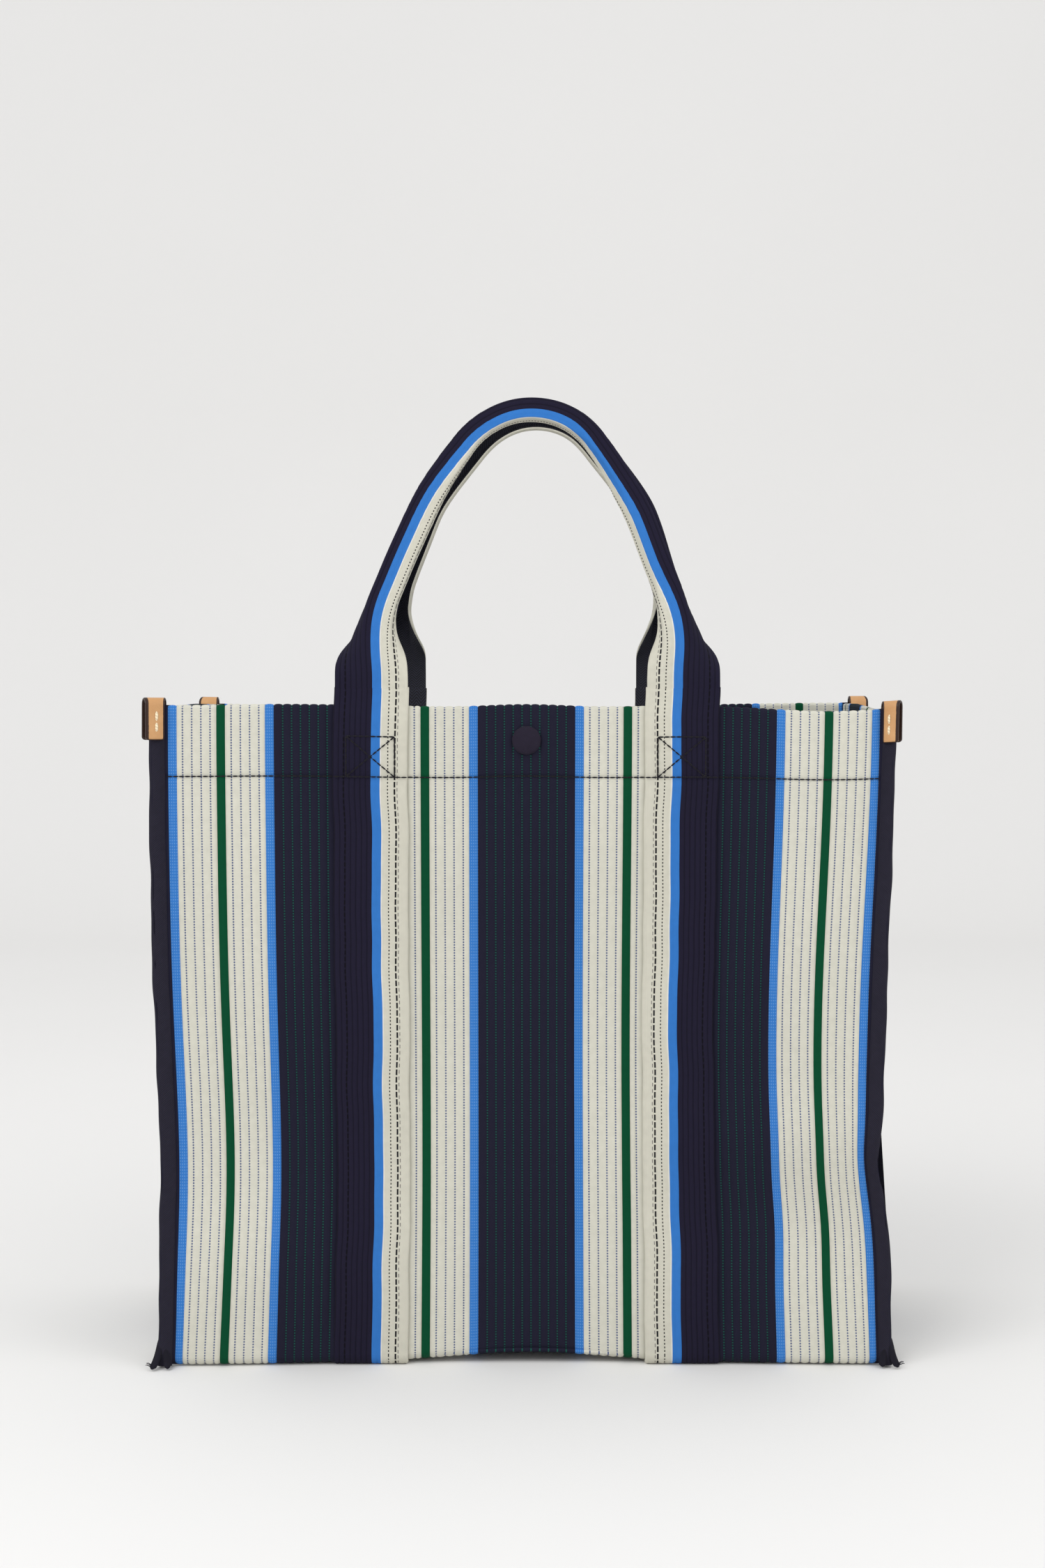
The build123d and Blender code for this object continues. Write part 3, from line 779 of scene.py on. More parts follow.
def make_tail(face, side):
    """Two folded tape ends and a tuft of threads at the foot of a seam."""
    sign = SIGN[side]
    way = -INWARD[face]
    corner = on_panel(face, sign * (SEAM_EDGE - 0.0030), 0.0016, 0.004)
    out, forward = np.array([sign, 0, 0]), np.array([0, way, 0])
    long = 1.0 if side == "left" else 0.75
    rings = []
    for aside, ahead, wide in ((0.0052, 0.0080, 0.0044), (-0.0030, 0.0070, 0.0036)):
        start = corner + np.array([0, 0, 0.012]) + 0.3 * aside * out
        bend = corner + np.array([0, 0, 0.001]) + 0.5 * aside * out + 0.1 * ahead * forward
        tip = corner + aside * out + ahead * long * forward
        tip[2] = 0.0014
        rings.append(along_path(tail_path((start, bend, tip)), wide, 0.0022))
    tail = tube_mesh(f"{face}_{side}_binding_tail", np.stack(rings))
    finish_piece(tail, TAPE_CLOTH, f"{face}_panel")
    rings = []
    for turn in np.radians([200, 235, 262, 290, 320]):
        start = corner + 0.0052 * out + 0.006 * long * forward
        start[2] = 0.0020
        bend = start + 0.0026 * np.array([sign * abs(np.cos(turn)), way * 0.5, -np.sin(turn) * 0.8])
        tip = bend + 0.0022 * np.array([sign * abs(np.sin(turn)), way * np.cos(turn), 0.2])
        rings.append(along_path(tail_path((start, bend, tip), 9), 0.00032, 0.00032))
    tuft = tube_mesh(f"{face}_{side}_loose_threads", np.stack(rings))
    finish_piece(tuft, TAPE_CLOTH, f"{face}_panel")


for face in FACES:
    for side in SIDES:
        make_tail(face, side)

# %% [markdown]
# ## The base
# The bottom is a soft rectangle between the two panels. It lies on the straps that run
# under it and sags a little between them. The seams at its two short sides are bound
# with the same tape, so each is a thick, slightly uneven roll.

# %% Base cloth and its bound seams
base_low, base_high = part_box("base_panel")
roll_low, roll_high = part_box("right_base_binding")


def make_base():
    """A flat loop across the bag's depth, carried along its width and sagging by a cosine."""
    x = rib_columns(base_high.x)
    y = spaced(base_low.y, 40, base_high.y)
    loop_y = np.concatenate([y, y[::-1]])
    top = np.concatenate([np.zeros_like(y), np.ones_like(y)])
    between = 0.5 + 0.5 * np.cos(np.pi * np.clip(x / 0.064, -1, 1))
    sag = -0.0012 * between[:, None] * (1 - (loop_y / base_high.y) ** 2)
    high = 0.4 * RIB_HEIGHT * rib_relief(x)[:, None] * top
    z = base_low.z + CLOTH * top + sag + high
    for face, way in (("front", -1), ("rear", 1)):
        near_edge = ease(way * loop_y, 0.0, base_high.y)
        z = z + hang(face, x, 0.0)[:, None, 2] * near_edge
    rings = np.stack(np.broadcast_arrays(x[:, None], loop_y, z), -1)
    uv = both(x[:, None], np.append(loop_y, loop_y[0]))
    piece = tube_mesh("base_cloth", rings, uv)
    finish_piece(piece, STRIPED, "base", ["base_panel"])


def make_base_roll(side):
    """A rounded bar, a superellipse carried along the short side of the base."""
    sign = SIGN[side]
    turn = np.linspace(0, 2 * np.pi, 24, endpoint=False)
    power = 0.6
    across = np.sign(np.cos(turn)) * np.abs(np.cos(turn)) ** power
    up = np.sign(np.sin(turn)) * np.abs(np.sin(turn)) ** power
    y = spaced(roll_low.y, 4, roll_low.y + 0.004, 90, roll_high.y - 0.004, 4, roll_high.y)
    end = np.sqrt(np.clip(1 - np.clip((np.abs(y) - roll_high.y + 0.004) / 0.0042, 0, 1) ** 2, 0, 1))
    wander = 0.0004 * ripple(y, 0.06, sign)
    half = (roll_high.x - roll_low.x) / 2
    tall = (roll_high.z - roll_low.z) / 2
    x = sign * ((roll_high.x + roll_low.x) / 2 - 0.002 + half * end[:, None] * across + wander[:, None])
    z = (roll_high.z + roll_low.z) / 2 + tall * end[:, None] * up
    rings = np.stack(np.broadcast_arrays(x, y[:, None], z), -1)
    around = np.linspace(0, 0.026, len(turn) + 1)
    uv = both(around, y[:, None])
    piece = tube_mesh(f"{side}_base_seam", rings, uv)
    finish_piece(piece, TAPE_CLOTH, "base", [f"{side}_base_binding"])


make_base()
for side in SIDES:
    make_base_roll(side)

# %% [markdown]
# ## Strap cloth and webbing
# A strap has two layers: a striped cloth that shows, and a herringbone webbing behind it that
# carries the load. The strap's stripes don't mirror. They start at its outer edge, so its own
# UV map measures from there: navy, a blue rib, then cream with a dotted line.
# Herringbone is a twill that turns back every few millimetres, which a folded distance gives.

# %% The strap's two materials
STRAP_NAVY = 0.0201
STRAP_BLUE = 0.0250
STRAP_WHITE = 0.0256
STRAP_RIB = 0.0029
STRAP_RELIEF = 0.0003
STRAP_STEPS = 4 * int(round(STRAP_WIDTH / STRAP_RIB))
DOTTED_LINE = 0.0293
SEWN_LINE = 0.0330
OUTER_SEWN_LINE = 0.0057


def strap_cloth():
    """Navy, blue and cream across the strap, with a dotted line and two sewn lines, and painted shade in the
    navy grooves.
    """
    made, build, shader, place = material("strap_cloth", roughness=0.86, sheen=0.015)
    cloth = place.outputs["UV"]
    uv = build.split(cloth)
    across, along = uv[0], uv[1]
    stops = [(0, linear(31, 28, 47)), (STRAP_NAVY, BLUE), (STRAP_BLUE, WHITE)]
    stops.append((STRAP_WHITE, linear(210, 207, 192)))
    colour = stripe_ramp(build, across, STRAP_WIDTH, stops)
    to_groove = build.math("PINGPONG", across, STRAP_RIB / 2)
    navy = build.below(across, STRAP_NAVY, 0.0001)
    # Painted shade: the grooves between the small navy ribs are darkened, as if in shadow.
    groove = build.math("MULTIPLY", build.below(to_groove, 0.0003, 0.0002), navy)
    colour = build.mix(build.math("MULTIPLY", groove, 0.6), colour, linear(14, 12, 22))
    for middle, width, pitch, share, tint in (
        (DOTTED_LINE, 0.0003, 0.0019, 0.0, BLACK),
        (SEWN_LINE, 0.00048, 0.0040, -0.38, BLACK),
        (SEWN_LINE + 0.0014, 0.0002, 0.0034, -0.1, linear(110, 106, 102)),
        (OUTER_SEWN_LINE, 0.00040, 0.0034, -0.3, linear(14, 12, 20)),
    ):
        distance = build.math("ABSOLUTE", build.math("SUBTRACT", across, middle))
        colour = build.mix(dots(build, distance, along, width, pitch, share), colour, tint)
    height, shade = weave(build, cloth, 0.0006, 0.0010)
    worn = build.math("MULTIPLY_ADD", build.noise(cloth, 14.0), 0.2, 0.9)
    shade = build.math("MULTIPLY", shade, worn)
    colour = build.shaded(colour, shade)
    rough = build.math("MULTIPLY_ADD", height, 0.12, 0.78)
    surface(build, shader, colour, height, 0.00018, rough)
    return made


def herringbone():
    """Black and navy twill that changes its slant at every rib."""
    made, build, shader, place = material("herringbone_webbing", roughness=0.6, specular=0.25, sheen=0.06)
    cloth = place.outputs["UV"]
    uv = build.split(cloth)
    zigzag = build.math("PINGPONG", uv[0], 0.0028)
    slant = build.wave(build.math("ADD", zigzag, uv[1]), 0.0016)
    colour = build.mix(slant, linear(20, 19, 24), linear(46, 47, 62))
    height, shade = weave(build, cloth, 0.0005, 0.0005, 0.4)
    colour = build.shaded(colour, shade)
    rough = build.math("MULTIPLY_ADD", slant, -0.15, 0.66)
    surface(build, shader, colour, build.math("ADD", slant, height), 0.00015, rough)
    return made


STRAP_CLOTH = strap_cloth()
WEBBING = herringbone()

# %% [markdown]
# ## Straps on the panels and under the base
# A strap is one flat loop, seen from above, carried along its length. On a panel it
# follows the panel's own pulls, so it never floats off or sinks in. Just above the hem it
# passes on to the free riser. Under the base it turns up at both ends to
# meet the panels, and the whole bag stands on it.

# %% The straps
SWAY = {"front": 0.0005, "rear": 0.0030}
FOOT_TURN = 0.0058


def strap_relief(e):
    """Height of the small ribs, |sin|^0.7 across each, less a groove under the sewn line."""
    ribs = np.abs(np.sin(np.pi * e / STRAP_RIB)) ** 0.7 - 0.5
    return STRAP_RELIEF * (ribs - np.exp(-((e - SEWN_LINE) / 0.0006) ** 2))


def strap_loop():
    """A flat loop with round edges: (distance from the outer edge, height off the back)."""
    radius = 0.0008
    e = spaced(radius, STRAP_STEPS, STRAP_WIDTH - radius)
    front = np.stack([e, STRAP + strap_relief(e)], -1)
    edge = arc(STRAP_WIDTH - radius, STRAP / 2, STRAP / 2, 90, -90, 7)[1:-1]
    back_e = spaced(STRAP_WIDTH - radius, 12, radius)
    back = np.stack([back_e, np.zeros_like(back_e)], -1)
    start = arc(radius, STRAP / 2, STRAP / 2, -90, -270, 7)[1:-1]
    return np.concatenate([front, edge, back, start])


def strap_uv(loop, along):
    """Distance from the strap's outer edge, and distance along it."""
    across = np.append(loop[:, 0], loop[0, 0])
    return both(across, along[:, None])


def make_panel_strap(face, side):
    """The strap's loop carried up the panel, over the hem and into the riser."""
    sign = SIGN[side]
    top = STRAP_TOP
    loop = strap_loop()
    z = spaced(FOOT_TURN, 100, HEM_TOP - 0.04, 26, top)
    z = np.append(z, [top + 0.0001, top + 0.0006])
    thin = np.ones_like(z)
    thin[-2:] = 0.94
    seed = 3 * sign + (1 if face == "front" else 4)
    wander = 0.0005 * ripple(z, 0.09, seed)
    free = ease(z, FOOT_TURN, 0.04) * (1 - ease(z, HEM_TOP - 0.01, top))
    x = sign * (STRAP_EDGE - loop[None, :, 0] + wander[:, None] * free[:, None])
    tuck = 0.0006 * np.exp(-((z - HEM_FOOT) / 0.003) ** 2)
    from_middle = (loop[None, :, 1] - STRAP / 2) * thin[:, None]
    depth = -(STRAP / 2 + from_middle - tuck[:, None]) - 0.00045 * free[:, None]
    hung = on_panel(face, x, depth, z[:, None])
    turn = INWARD[face]
    sway = SWAY[face] * ease(z[:, None], 0.1, HEM_TOP)
    still = np.stack(np.broadcast_arrays(x + sway, turn * (depth - FACE), z[:, None]), -1)
    rings = still + (hung - still) * free[:, None, None]
    piece = tube_mesh(f"{face}_{side}_panel_strap", rings, strap_uv(loop, z))
    finish_piece(piece, STRAP_CLOTH, None, [f"{face}_{side}_strap"])
    piece.data.materials.append(WEBBING)
    behind = np.zeros((len(z) - 1, len(loop)), int)
    behind[z[:-1] > HEM_TOP - 0.002] = loop[:, 1] < STRAP / 2
    piece.data.polygons.foreach_set("material_index", np.append(behind.reshape(-1), [0, 0]))
    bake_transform(piece)


def make_base_strap(side):
    """The loop carried under the base, with a quarter turn up at each end."""
    sign = SIGN[side]
    loop = strap_loop()
    radius, reach = FOOT_TURN, -strap_low.y
    turn = np.linspace(0, np.pi / 2, 8)
    flat = spaced(-reach + radius, 60, reach - radius)
    end = reach - radius + radius * np.sin(turn[1:])
    y = np.concatenate([-end[::-1], flat, end])
    lift = radius - radius * np.cos(turn)
    z = np.concatenate([lift[:0:-1], np.zeros_like(flat), lift[1:]])
    tangent = unit(np.stack([np.gradient(y), np.gradient(z)], -1))
    inward = STRAP - loop[None, :, 1]
    x = np.broadcast_to(sign * (STRAP_EDGE - loop[None, :, 0]), (len(y), len(loop)))
    rings = np.stack([x, y[:, None] - inward * tangent[:, 1:], z[:, None] + inward * tangent[:, :1]], -1)
    rings[..., 2] = np.maximum(rings[..., 2], 0.0)
    length = np.append(0, np.cumsum(np.hypot(np.diff(y), np.diff(z))))
    piece = tube_mesh(f"{side}_base_strap_cloth", rings, strap_uv(loop, length))
    finish_piece(piece, STRAP_CLOTH, "base", [f"{side}_base_strap"])


for side in SIDES:
    make_base_strap(side)
    for face in FACES:
        make_panel_strap(face, side)

# %% [markdown]
# ## The handles
# Above the hem the flat strap folds up into a channel, leans towards the mouth, and
# arches over to the other side. Two formulas give its shape. The first is the path: a
# straight root, a slanting curve, a long side arc and a tight arc over the top. The second is
# the section: walk across the strap and add up how much it turns. On each side of the
# middle, one soft corner of 90 degrees raises a wall, and a second one folds a lip back.
# Multiplying all turns by a number from 0 to 1 unfolds the strap smoothly at its roots.

# %% The path of a handle
HANDLE_RISE = 0.1520
LEAN_ASIDE = {"front": 0.0030, "rear": 0.0040}
HIGHER = {"front": 0.0, "rear": 0.0064}
WIDER = {"front": (0.0, 0.0), "rear": (-0.0058, 0.0085)}
FOLD_START = {"front": -0.004, "rear": 0.010}
ROOT = BEND_Z - STRAP_TOP
LEG_X = 0.0738
LEG_HIGH = 0.0515
LEG_SLOPE = np.radians(20)
CROWN_RADIUS = 0.043
SIDE_TURN_END = 0.5864


def cubic(a, turn_a, b, turn_b, pull, count):
    """A cubic from a to b without a itself. A turn is the slope's angle from upright at an
    end, and pull says how far the curve keeps to it, as a share of the distance."""
    t = np.linspace(0, 1, count)[1:, None]
    reach = pull * np.linalg.norm(b - a)
    slope_a, slope_b = (reach * np.array([-np.sin(turn), np.cos(turn)]) for turn in (turn_a, turn_b))
    curve = (2 * t**3 - 3 * t**2 + 1) * a + (t**3 - 2 * t**2 + t) * slope_a
    return curve + (3 * t**2 - 2 * t**3) * b + (t**3 - t**2) * slope_b


def half_path():
    """Middle of the strap's face on the right side, from its root to the crown, as (x, up):
    straight, a cubic to the leg, a second one up the side, and an arc over the top."""
    root = np.stack([np.full(8, STRAP_CENTRE), np.linspace(-ROOT, 0.006, 8)], -1)
    foot, leg = np.array([STRAP_CENTRE, 0.008]), np.array([LEG_X, LEG_HIGH])
    turn = np.linspace(SIDE_TURN_END, np.pi / 2, 28)
    crown = CROWN_RADIUS * np.stack([np.cos(turn), np.sin(turn)], -1)
    crown = crown + np.array([0, HANDLE_RISE - CROWN_RADIUS])
    lower = cubic(foot, 0.0, leg, LEG_SLOPE, 1.1, 30)
    upper = cubic(leg, LEG_SLOPE, crown[0], SIDE_TURN_END, 1.02, 46)
    return np.concatenate([root, lower, upper, crown[1:]])


def handle_path():
    """The whole path: the right half, and its mirror image back down to the left root."""
    right = half_path()
    left = right[-2::-1] * np.array([-1, 1])
    return np.concatenate([right, left])


def sideways(path):
    """Unit vector out of the arch at each point of the path, and the distance along it."""
    along = np.append(0, np.cumsum(np.linalg.norm(np.diff(path, axis=0), axis=1)))
    tangent = unit(np.gradient(path, along, axis=0))
    return np.stack([tangent[:, 1], -tangent[:, 0]], -1), along


PATH = handle_path()
OUTWARD, ALONG = sideways(PATH)
print(f"a handle is {ALONG[-1]:.3f} m long from root to root")

# %% [markdown]
# ### From the path to the folded strap
# The section starts flat at the root. Each point across the strap gets an angle from its
# distance to the corners, and adding up small steps along those angles gives the section.
# A layer is the strip between two such curves, one for each of its faces.

# %% Fold the strap and carry it along the path
WALL = 0.0072
CORNER = 0.0011
CHANNEL = {"width": 0.0152, "middle": 0.0230}
AT_CROWN = {"width": 0.0034, "middle": 0.0036}
TURNED_LEG = 0.0045
FINE = 241
LEAN_STRETCH = (-0.008, 0.012)


def section(across, offset, fold, crown, turned):
    """Sideways and inward places of the strap's points for each station. across is the
    distance from the outer edge, offset the depth of the layer inside the strap. fold, crown
    and turned are shares from 0 to 1: how far the strap is folded, how near it is to the
    crown, where the channel is narrower, and how far a leg is turned to show its side."""
    fold, crown, turned = fold[:, None], crown[:, None], turned[:, None]
    width, middle = (CHANNEL[k] - AT_CROWN[k] * crown - TURNED_LEG * turned for k in CHANNEL)
    outer, inner = middle - width / 2, middle + width / 2
    fine = np.linspace(0, STRAP_WIDTH, FINE)[None, :]

    def corner(place, side):
        """A soft step up or down at a place: 1 / (1 + e^-x)."""
        return 1 / (1 + np.exp(-side * (fine - place) / (0.42 * CORNER)))

    angle = -corner(outer, -1) - 0.97 * corner(outer - WALL, -1)
    angle = angle + (1 - 0.38 * turned) * corner(inner, 1) + 0.97 * corner(inner + WALL, 1)
    angle = angle * fold * np.pi / 2
    half = (angle[:, 1:] + angle[:, :-1]) / 2
    rows = np.arange(len(fold))
    which = np.clip(np.searchsorted(fine[0], middle[:, 0]), 0, FINE - 1)

    def walked(part):
        """Adds up small steps across the strap, counted from the channel's middle."""
        steps = np.cumsum(np.diff(fine, axis=1) * part, axis=1)
        walk = np.concatenate([np.zeros((len(rows), 1)), steps], 1)
        return walk - walk[rows, which][:, None]

    def at_points(values):
        """Values of the fine steps, read at the strap's own points."""
        return np.stack([np.interp(across, fine[0], values[r]) for r in rows])

    aside, inward = at_points(walked(np.cos(half))), at_points(walked(np.sin(half)))
    angle = at_points(angle)
    off_centre = (0.0008 * (1 - crown) + TURNED_LEG / 2 * turned) * fold
    aside = aside - (STRAP_WIDTH / 2 - middle) * (1 - fold) - off_centre
    return -(aside - np.sin(angle) * offset), inward + np.cos(angle) * offset


def leaned(height, inward):
    """Bends the upright handle towards the mouth: the line up the handle turns by LEAN within
    a short stretch at its bend, and adding up small steps along it gives its (y, z)."""
    past = np.linspace(-0.03, 0.20, 461)
    lean = LEAN * ease(past, *LEAN_STRETCH)
    half = (lean[1:] + lean[:-1]) / 2
    gap = past[1] - past[0]
    line_y = np.append(0, np.cumsum(gap * np.sin(half)))
    line_z = past[0] + np.append(0, np.cumsum(gap * np.cos(half)))
    bend = LEAN * ease(height, *LEAN_STRETCH)
    y = np.interp(height, past, line_y) + inward * np.cos(bend)
    return y, np.interp(height, past, line_z) - inward * np.sin(bend)


def handle_layer(name, face, near, far, ribbed):
    """A closed layer of the handle between two depths, from one root to the other. ribbed is
    1 for the cover, whose outside has the strap's small ribs, and 0 for the lining."""
    up = PATH[:, 1]
    fold = ease(up, FOLD_START[face], 0.046)
    crown = ease(up, 0.085, HANDLE_RISE) * (face == "front")
    turned = ease(PATH[:, 0], 0.02, 0.05) * ease(up, 0.030, 0.065) * (face == "front")
    e = spaced(0.0001, STRAP_STEPS, STRAP_WIDTH - 0.0001)
    outside = section(e, near - ribbed * strap_relief(e), fold, crown, turned)
    inside = section(e[::-1], np.full_like(e, far), fold, crown, turned)
    aside = np.concatenate([outside[0], inside[0]], 1)
    inward = np.concatenate([outside[1], inside[1]], 1)
    in_plane = PATH[:, None, :] + aside[..., None] * OUTWARD[:, None, :]
    share = np.clip(in_plane[..., 1] / HANDLE_RISE, 0, None)
    in_plane[..., 0] += SWAY[face] + LEAN_ASIDE[face] * share ** 1.5 - 0.0007 * ease(share, 0.0, 0.3)
    wider = np.where(PATH[:, 0] < 0, *WIDER[face]) * ease(up, 0.028, 0.060) * (1 - ease(up, 0.095, 0.140))
    in_plane[..., 0] += wider[:, None]
    in_plane[..., 0] += 0.0005 * (ripple(ALONG, 0.11, 2.0) * ease(up, 0.0, 0.02))[:, None]
    h = in_plane[..., 1] + HIGHER[face] * ease(in_plane[..., 1], 0.02, HANDLE_RISE)
    y, z = leaned(h, inward)
    rings = np.stack([in_plane[..., 0], INWARD[face] * (y - FACE - STRAP), z + BEND_Z], -1)
    loop = np.concatenate([e, e[::-1]])[:, None]
    return tube_mesh(name, rings, strap_uv(loop, ALONG))


for face in FACES:
    risers = [f"{face}_left_riser", f"{face}_right_riser"]
    cover = handle_layer(f"{face}_handle_cover", face, 0.0, COVER, 1.0)
    finish_piece(cover, STRAP_CLOTH, None, [f"{face}_grip_cover"] + risers)
    lining = handle_layer(f"{face}_handle_lining", face, COVER + 0.00005, STRAP - 0.0001, 0.0)
    finish_piece(lining, WEBBING, None, [f"{face}_grip_lining"])
    for layer in (cover, lining):
        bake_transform(layer)

# %% [markdown]
# ## Stitches
# Thread is a piece of its own. A stitch is a small tube that dips into the cloth at both ends,
# so its height follows a sine between them. All stitches of a seam are made at once: the
# array has one more dimension, and the formula is the same for every one of them.

# %% Rows of stitches
def thread_material(name, colour):
    """Twisted thread: a slanted wave round the stitch."""
    made, build, shader, place = material(name, roughness=0.55, sheen=0.1)
    uv = build.split(place.outputs["UV"])
    twist = build.wave(build.math("MULTIPLY_ADD", uv[1], 3.0, uv[0]), 1.0)
    shade = build.math("MULTIPLY_ADD", twist, 0.35, 0.75)
    tint = build.shaded(colour, shade)
    surface(build, shader, tint, twist, 0.0001)
    return made


DARK_THREAD = thread_material("dark_thread", linear(24, 22, 28))
CREAM_THREAD = thread_material("cream_thread", linear(242, 224, 190))


def row(start, end, pitch, fill=0.96):
    """Ends of the stitches of a straight row: arrays of (x, z)."""
    start, end = np.array(start, float), np.array(end, float)
    count = max(1, int(round(np.linalg.norm(end - start) / pitch)))
    step = (end - start) / count
    first = start + step * (np.arange(count)[:, None] + (1 - fill) / 2)
    return first, first + step * fill


def stitches(name, face, rows, lift, width, height, sign=-1):
    """Tubes from first to last point of each stitch, arched by a sine, on a panel's face."""
    first = np.concatenate([r[0] for r in rows])
    last = np.concatenate([r[1] for r in rows])
    t = np.linspace(0, 1, 7)
    middle = first[:, None] + (last - first)[:, None] * t[:, None]
    along = unit(last - first)
    across = np.stack([-along[:, 1], along[:, 0]], -1)
    thick = (0.35 + 0.65 * np.sin(np.pi * t) ** 0.5)[:, None]
    turn = np.linspace(0, 2 * np.pi, 8, endpoint=False)
    aside = width / 2 * thick * np.cos(turn)
    place = middle[:, :, None] + across[:, None, None] * aside[..., None]
    arch = height * (np.sin(np.pi * t) ** 0.6)[:, None] * (0.5 + 0.5 * np.sin(turn))
    depth = lift + sign * np.broadcast_to(arch - 0.00015, place.shape[:3])
    rings = on_panel(face, place[..., 0], depth, place[..., 1])
    return tube_mesh(name, rings)


BOX_WIDTH = 0.026
BOX_FOOT, BOX_TOP = HEM_FOOT, box_high.z - 0.0003
BACKSTITCH = 0.0032


def box_rows(sign):
    """A box with a cross: four sides and two diagonals."""
    left, right = STRAP_CENTRE - BOX_WIDTH / 2, STRAP_CENTRE + BOX_WIDTH / 2
    corners = [(left, BOX_FOOT), (right, BOX_FOOT), (right, BOX_TOP), (left, BOX_TOP)]
    pairs = list(zip(corners, corners[1:] + corners[:1]))
    pairs += [(corners[0], corners[2]), (corners[1], corners[3])]
    return [row((sign * a[0], a[1]), (sign * b[0], b[1]), BACKSTITCH, 0.96) for a, b in pairs]


for face in FACES:
    boxes = stitches(f"{face}_box_thread", face, box_rows(1) + box_rows(-1), -STRAP - 0.0007, 0.0008, 0.0005)
    finish_piece(boxes, DARK_THREAD, f"{face}_panel", [f"{face}_box_stitches"])
    gap = STRAP_EDGE - STRAP_WIDTH
    hem_rows = [row((-gap, HEM_FOOT), (gap, HEM_FOOT), BACKSTITCH)]
    on_strap = [row((s * gap, HEM_FOOT), (s * STRAP_EDGE, HEM_FOOT), BACKSTITCH) for s in (-1, 1)]
    for s in (-1, 1):
        hem_rows.append(row((s * STRAP_EDGE, HEM_FOOT), (s * (SEAM_START - 0.001), HEM_FOOT), BACKSTITCH))
    hem = stitches(f"{face}_hem_thread", face, hem_rows, -0.0004, 0.0008, 0.0005)
    finish_piece(hem, DARK_THREAD, f"{face}_panel", [f"{face}_hem_stitches"])
    over = stitches(f"{face}_hem_thread_on_straps", face, on_strap, -STRAP - 0.0007, 0.0008, 0.0005)
    finish_piece(over, DARK_THREAD, f"{face}_panel")

# %% [markdown]
# ## Leather tabs
# A small piece of leather is folded over the top of each bound seam and sewn through with two
# thick stitches. Its loop is a tall arch seen from the side, carried across the seam. The
# first and last steps shrink the loop a little, which rounds the cut edges. The material
# reads its own UV: the ends of the sweep are the cut edges, and they are painted dark.

# %% Leather, tabs and their stitches
def leather():
    """Tan leather with pores, and dark paint on the cut edges."""
    made, build, shader, place = material("tan_leather", roughness=0.45, specular=0.3)
    place_on = place.outputs["Object"]
    uv = build.split(place.outputs["UV"])
    cells = build.add("ShaderNodeTexVoronoi", [("Vector", place_on), ("Scale", 1500.0)])
    pores = build.math("SUBTRACT", 1.0, build.math("MULTIPLY", cells.outputs[0], 0.8))
    cloud = build.noise(place_on, 160.0)
    colour = build.mix(cloud, linear(184, 135, 87), linear(207, 161, 112))
    wander = build.math("MULTIPLY_ADD", build.noise(place_on, 900.0), 0.03, -0.015)
    across = build.math("ADD", uv[0], wander)
    along = build.math("PINGPONG", uv[1], 0.25)
    paint = build.math("SUBTRACT", 1.0, build.below(across, 0.85, 0.012))
    paint = build.math("MAXIMUM", paint, build.below(across, 0.07, 0.012))
    paint = build.math("MAXIMUM", paint, build.below(along, 0.0045, 0.001))
    colour = build.mix(paint, colour, linear(46, 27, 20))
    rough = build.math("MULTIPLY_ADD", paint, -0.15, 0.5)
    surface(build, shader, colour, pores, 0.00008, rough)
    return made


LEATHER = leather()
TAB_THICK = 0.0013
TAB_MIDDLE = CLOTH


def make_tab(face, side):
    """An arch round the seam: outer leg, half circle, inner leg, then back along its inside."""
    sign = SIGN[side]
    foot, top = tab_low.z, tab_high.z
    inner = (tab_high.y - tab_low.y) / 2 - TAB_THICK + 0.0001
    turn_z = top - TAB_THICK - inner
    width = tab_high.x - tab_low.x
    first = np.array([0.0, 0.01, 0.03, 0.06, 0.10, 0.15, 0.30])
    places = np.concatenate([first, 1 - first[::-1]])
    from_end = np.minimum(places, 1 - places)
    shrink = 0.45 * (1 - ease(from_end, -0.03, 0.045)) * 2
    corner = 0.0018
    round_up = corner - np.sqrt(corner ** 2 - (corner - np.minimum(from_end * width, corner)) ** 2)
    rings = []
    for share, less, raised in zip(places, shrink, round_up):
        half = TAB_THICK / 2 * (1 - less)
        middle = inner + TAB_THICK / 2
        leg = spaced(foot + raised, 12, turn_z)
        flare = 0.0004 * (1 - (leg - foot) / (turn_z - foot))
        out_leg = np.stack([-(middle + half) - flare, leg], -1)
        out_arc = arc(0, turn_z, middle + half, 180, 0, 15)
        out_down = out_leg[::-1] * np.array([-1, 1])
        in_leg = np.stack([middle - half + flare, leg], -1)
        in_arc = arc(0, turn_z, middle - half, 0, 180, 15)
        in_down = in_leg[::-1] * np.array([-1, 1])
        loop = np.concatenate([out_leg, out_arc[1:-1], out_down, in_leg, in_arc[1:-1], in_down])
        x = sign * (tab_low.x + share * width)
        rings.append(on_panel(face, np.full(len(loop), x), TAB_MIDDLE + loop[:, 0], loop[:, 1]))
    uv = both(places[:, None], np.linspace(0, 1, len(loop) + 1))
    piece = tube_mesh(f"{face}_{side}_leather_tab", np.stack(rings), uv)
    finish_piece(piece, LEATHER, f"{face}_panel", [f"{face}_{side}_tab"])


def tab_rows():
    """Two upright stitches in line on both tabs."""
    middle = (tab_low.x + tab_high.x) / 2
    rows = []
    for sign in (-1, 1):
        for z in (tab_low.z + 0.0070, tab_low.z + 0.0130):
            rows.append(row((sign * middle, z - 0.0026), (sign * middle, z + 0.0026), 0.0052, 0.97))
    return rows


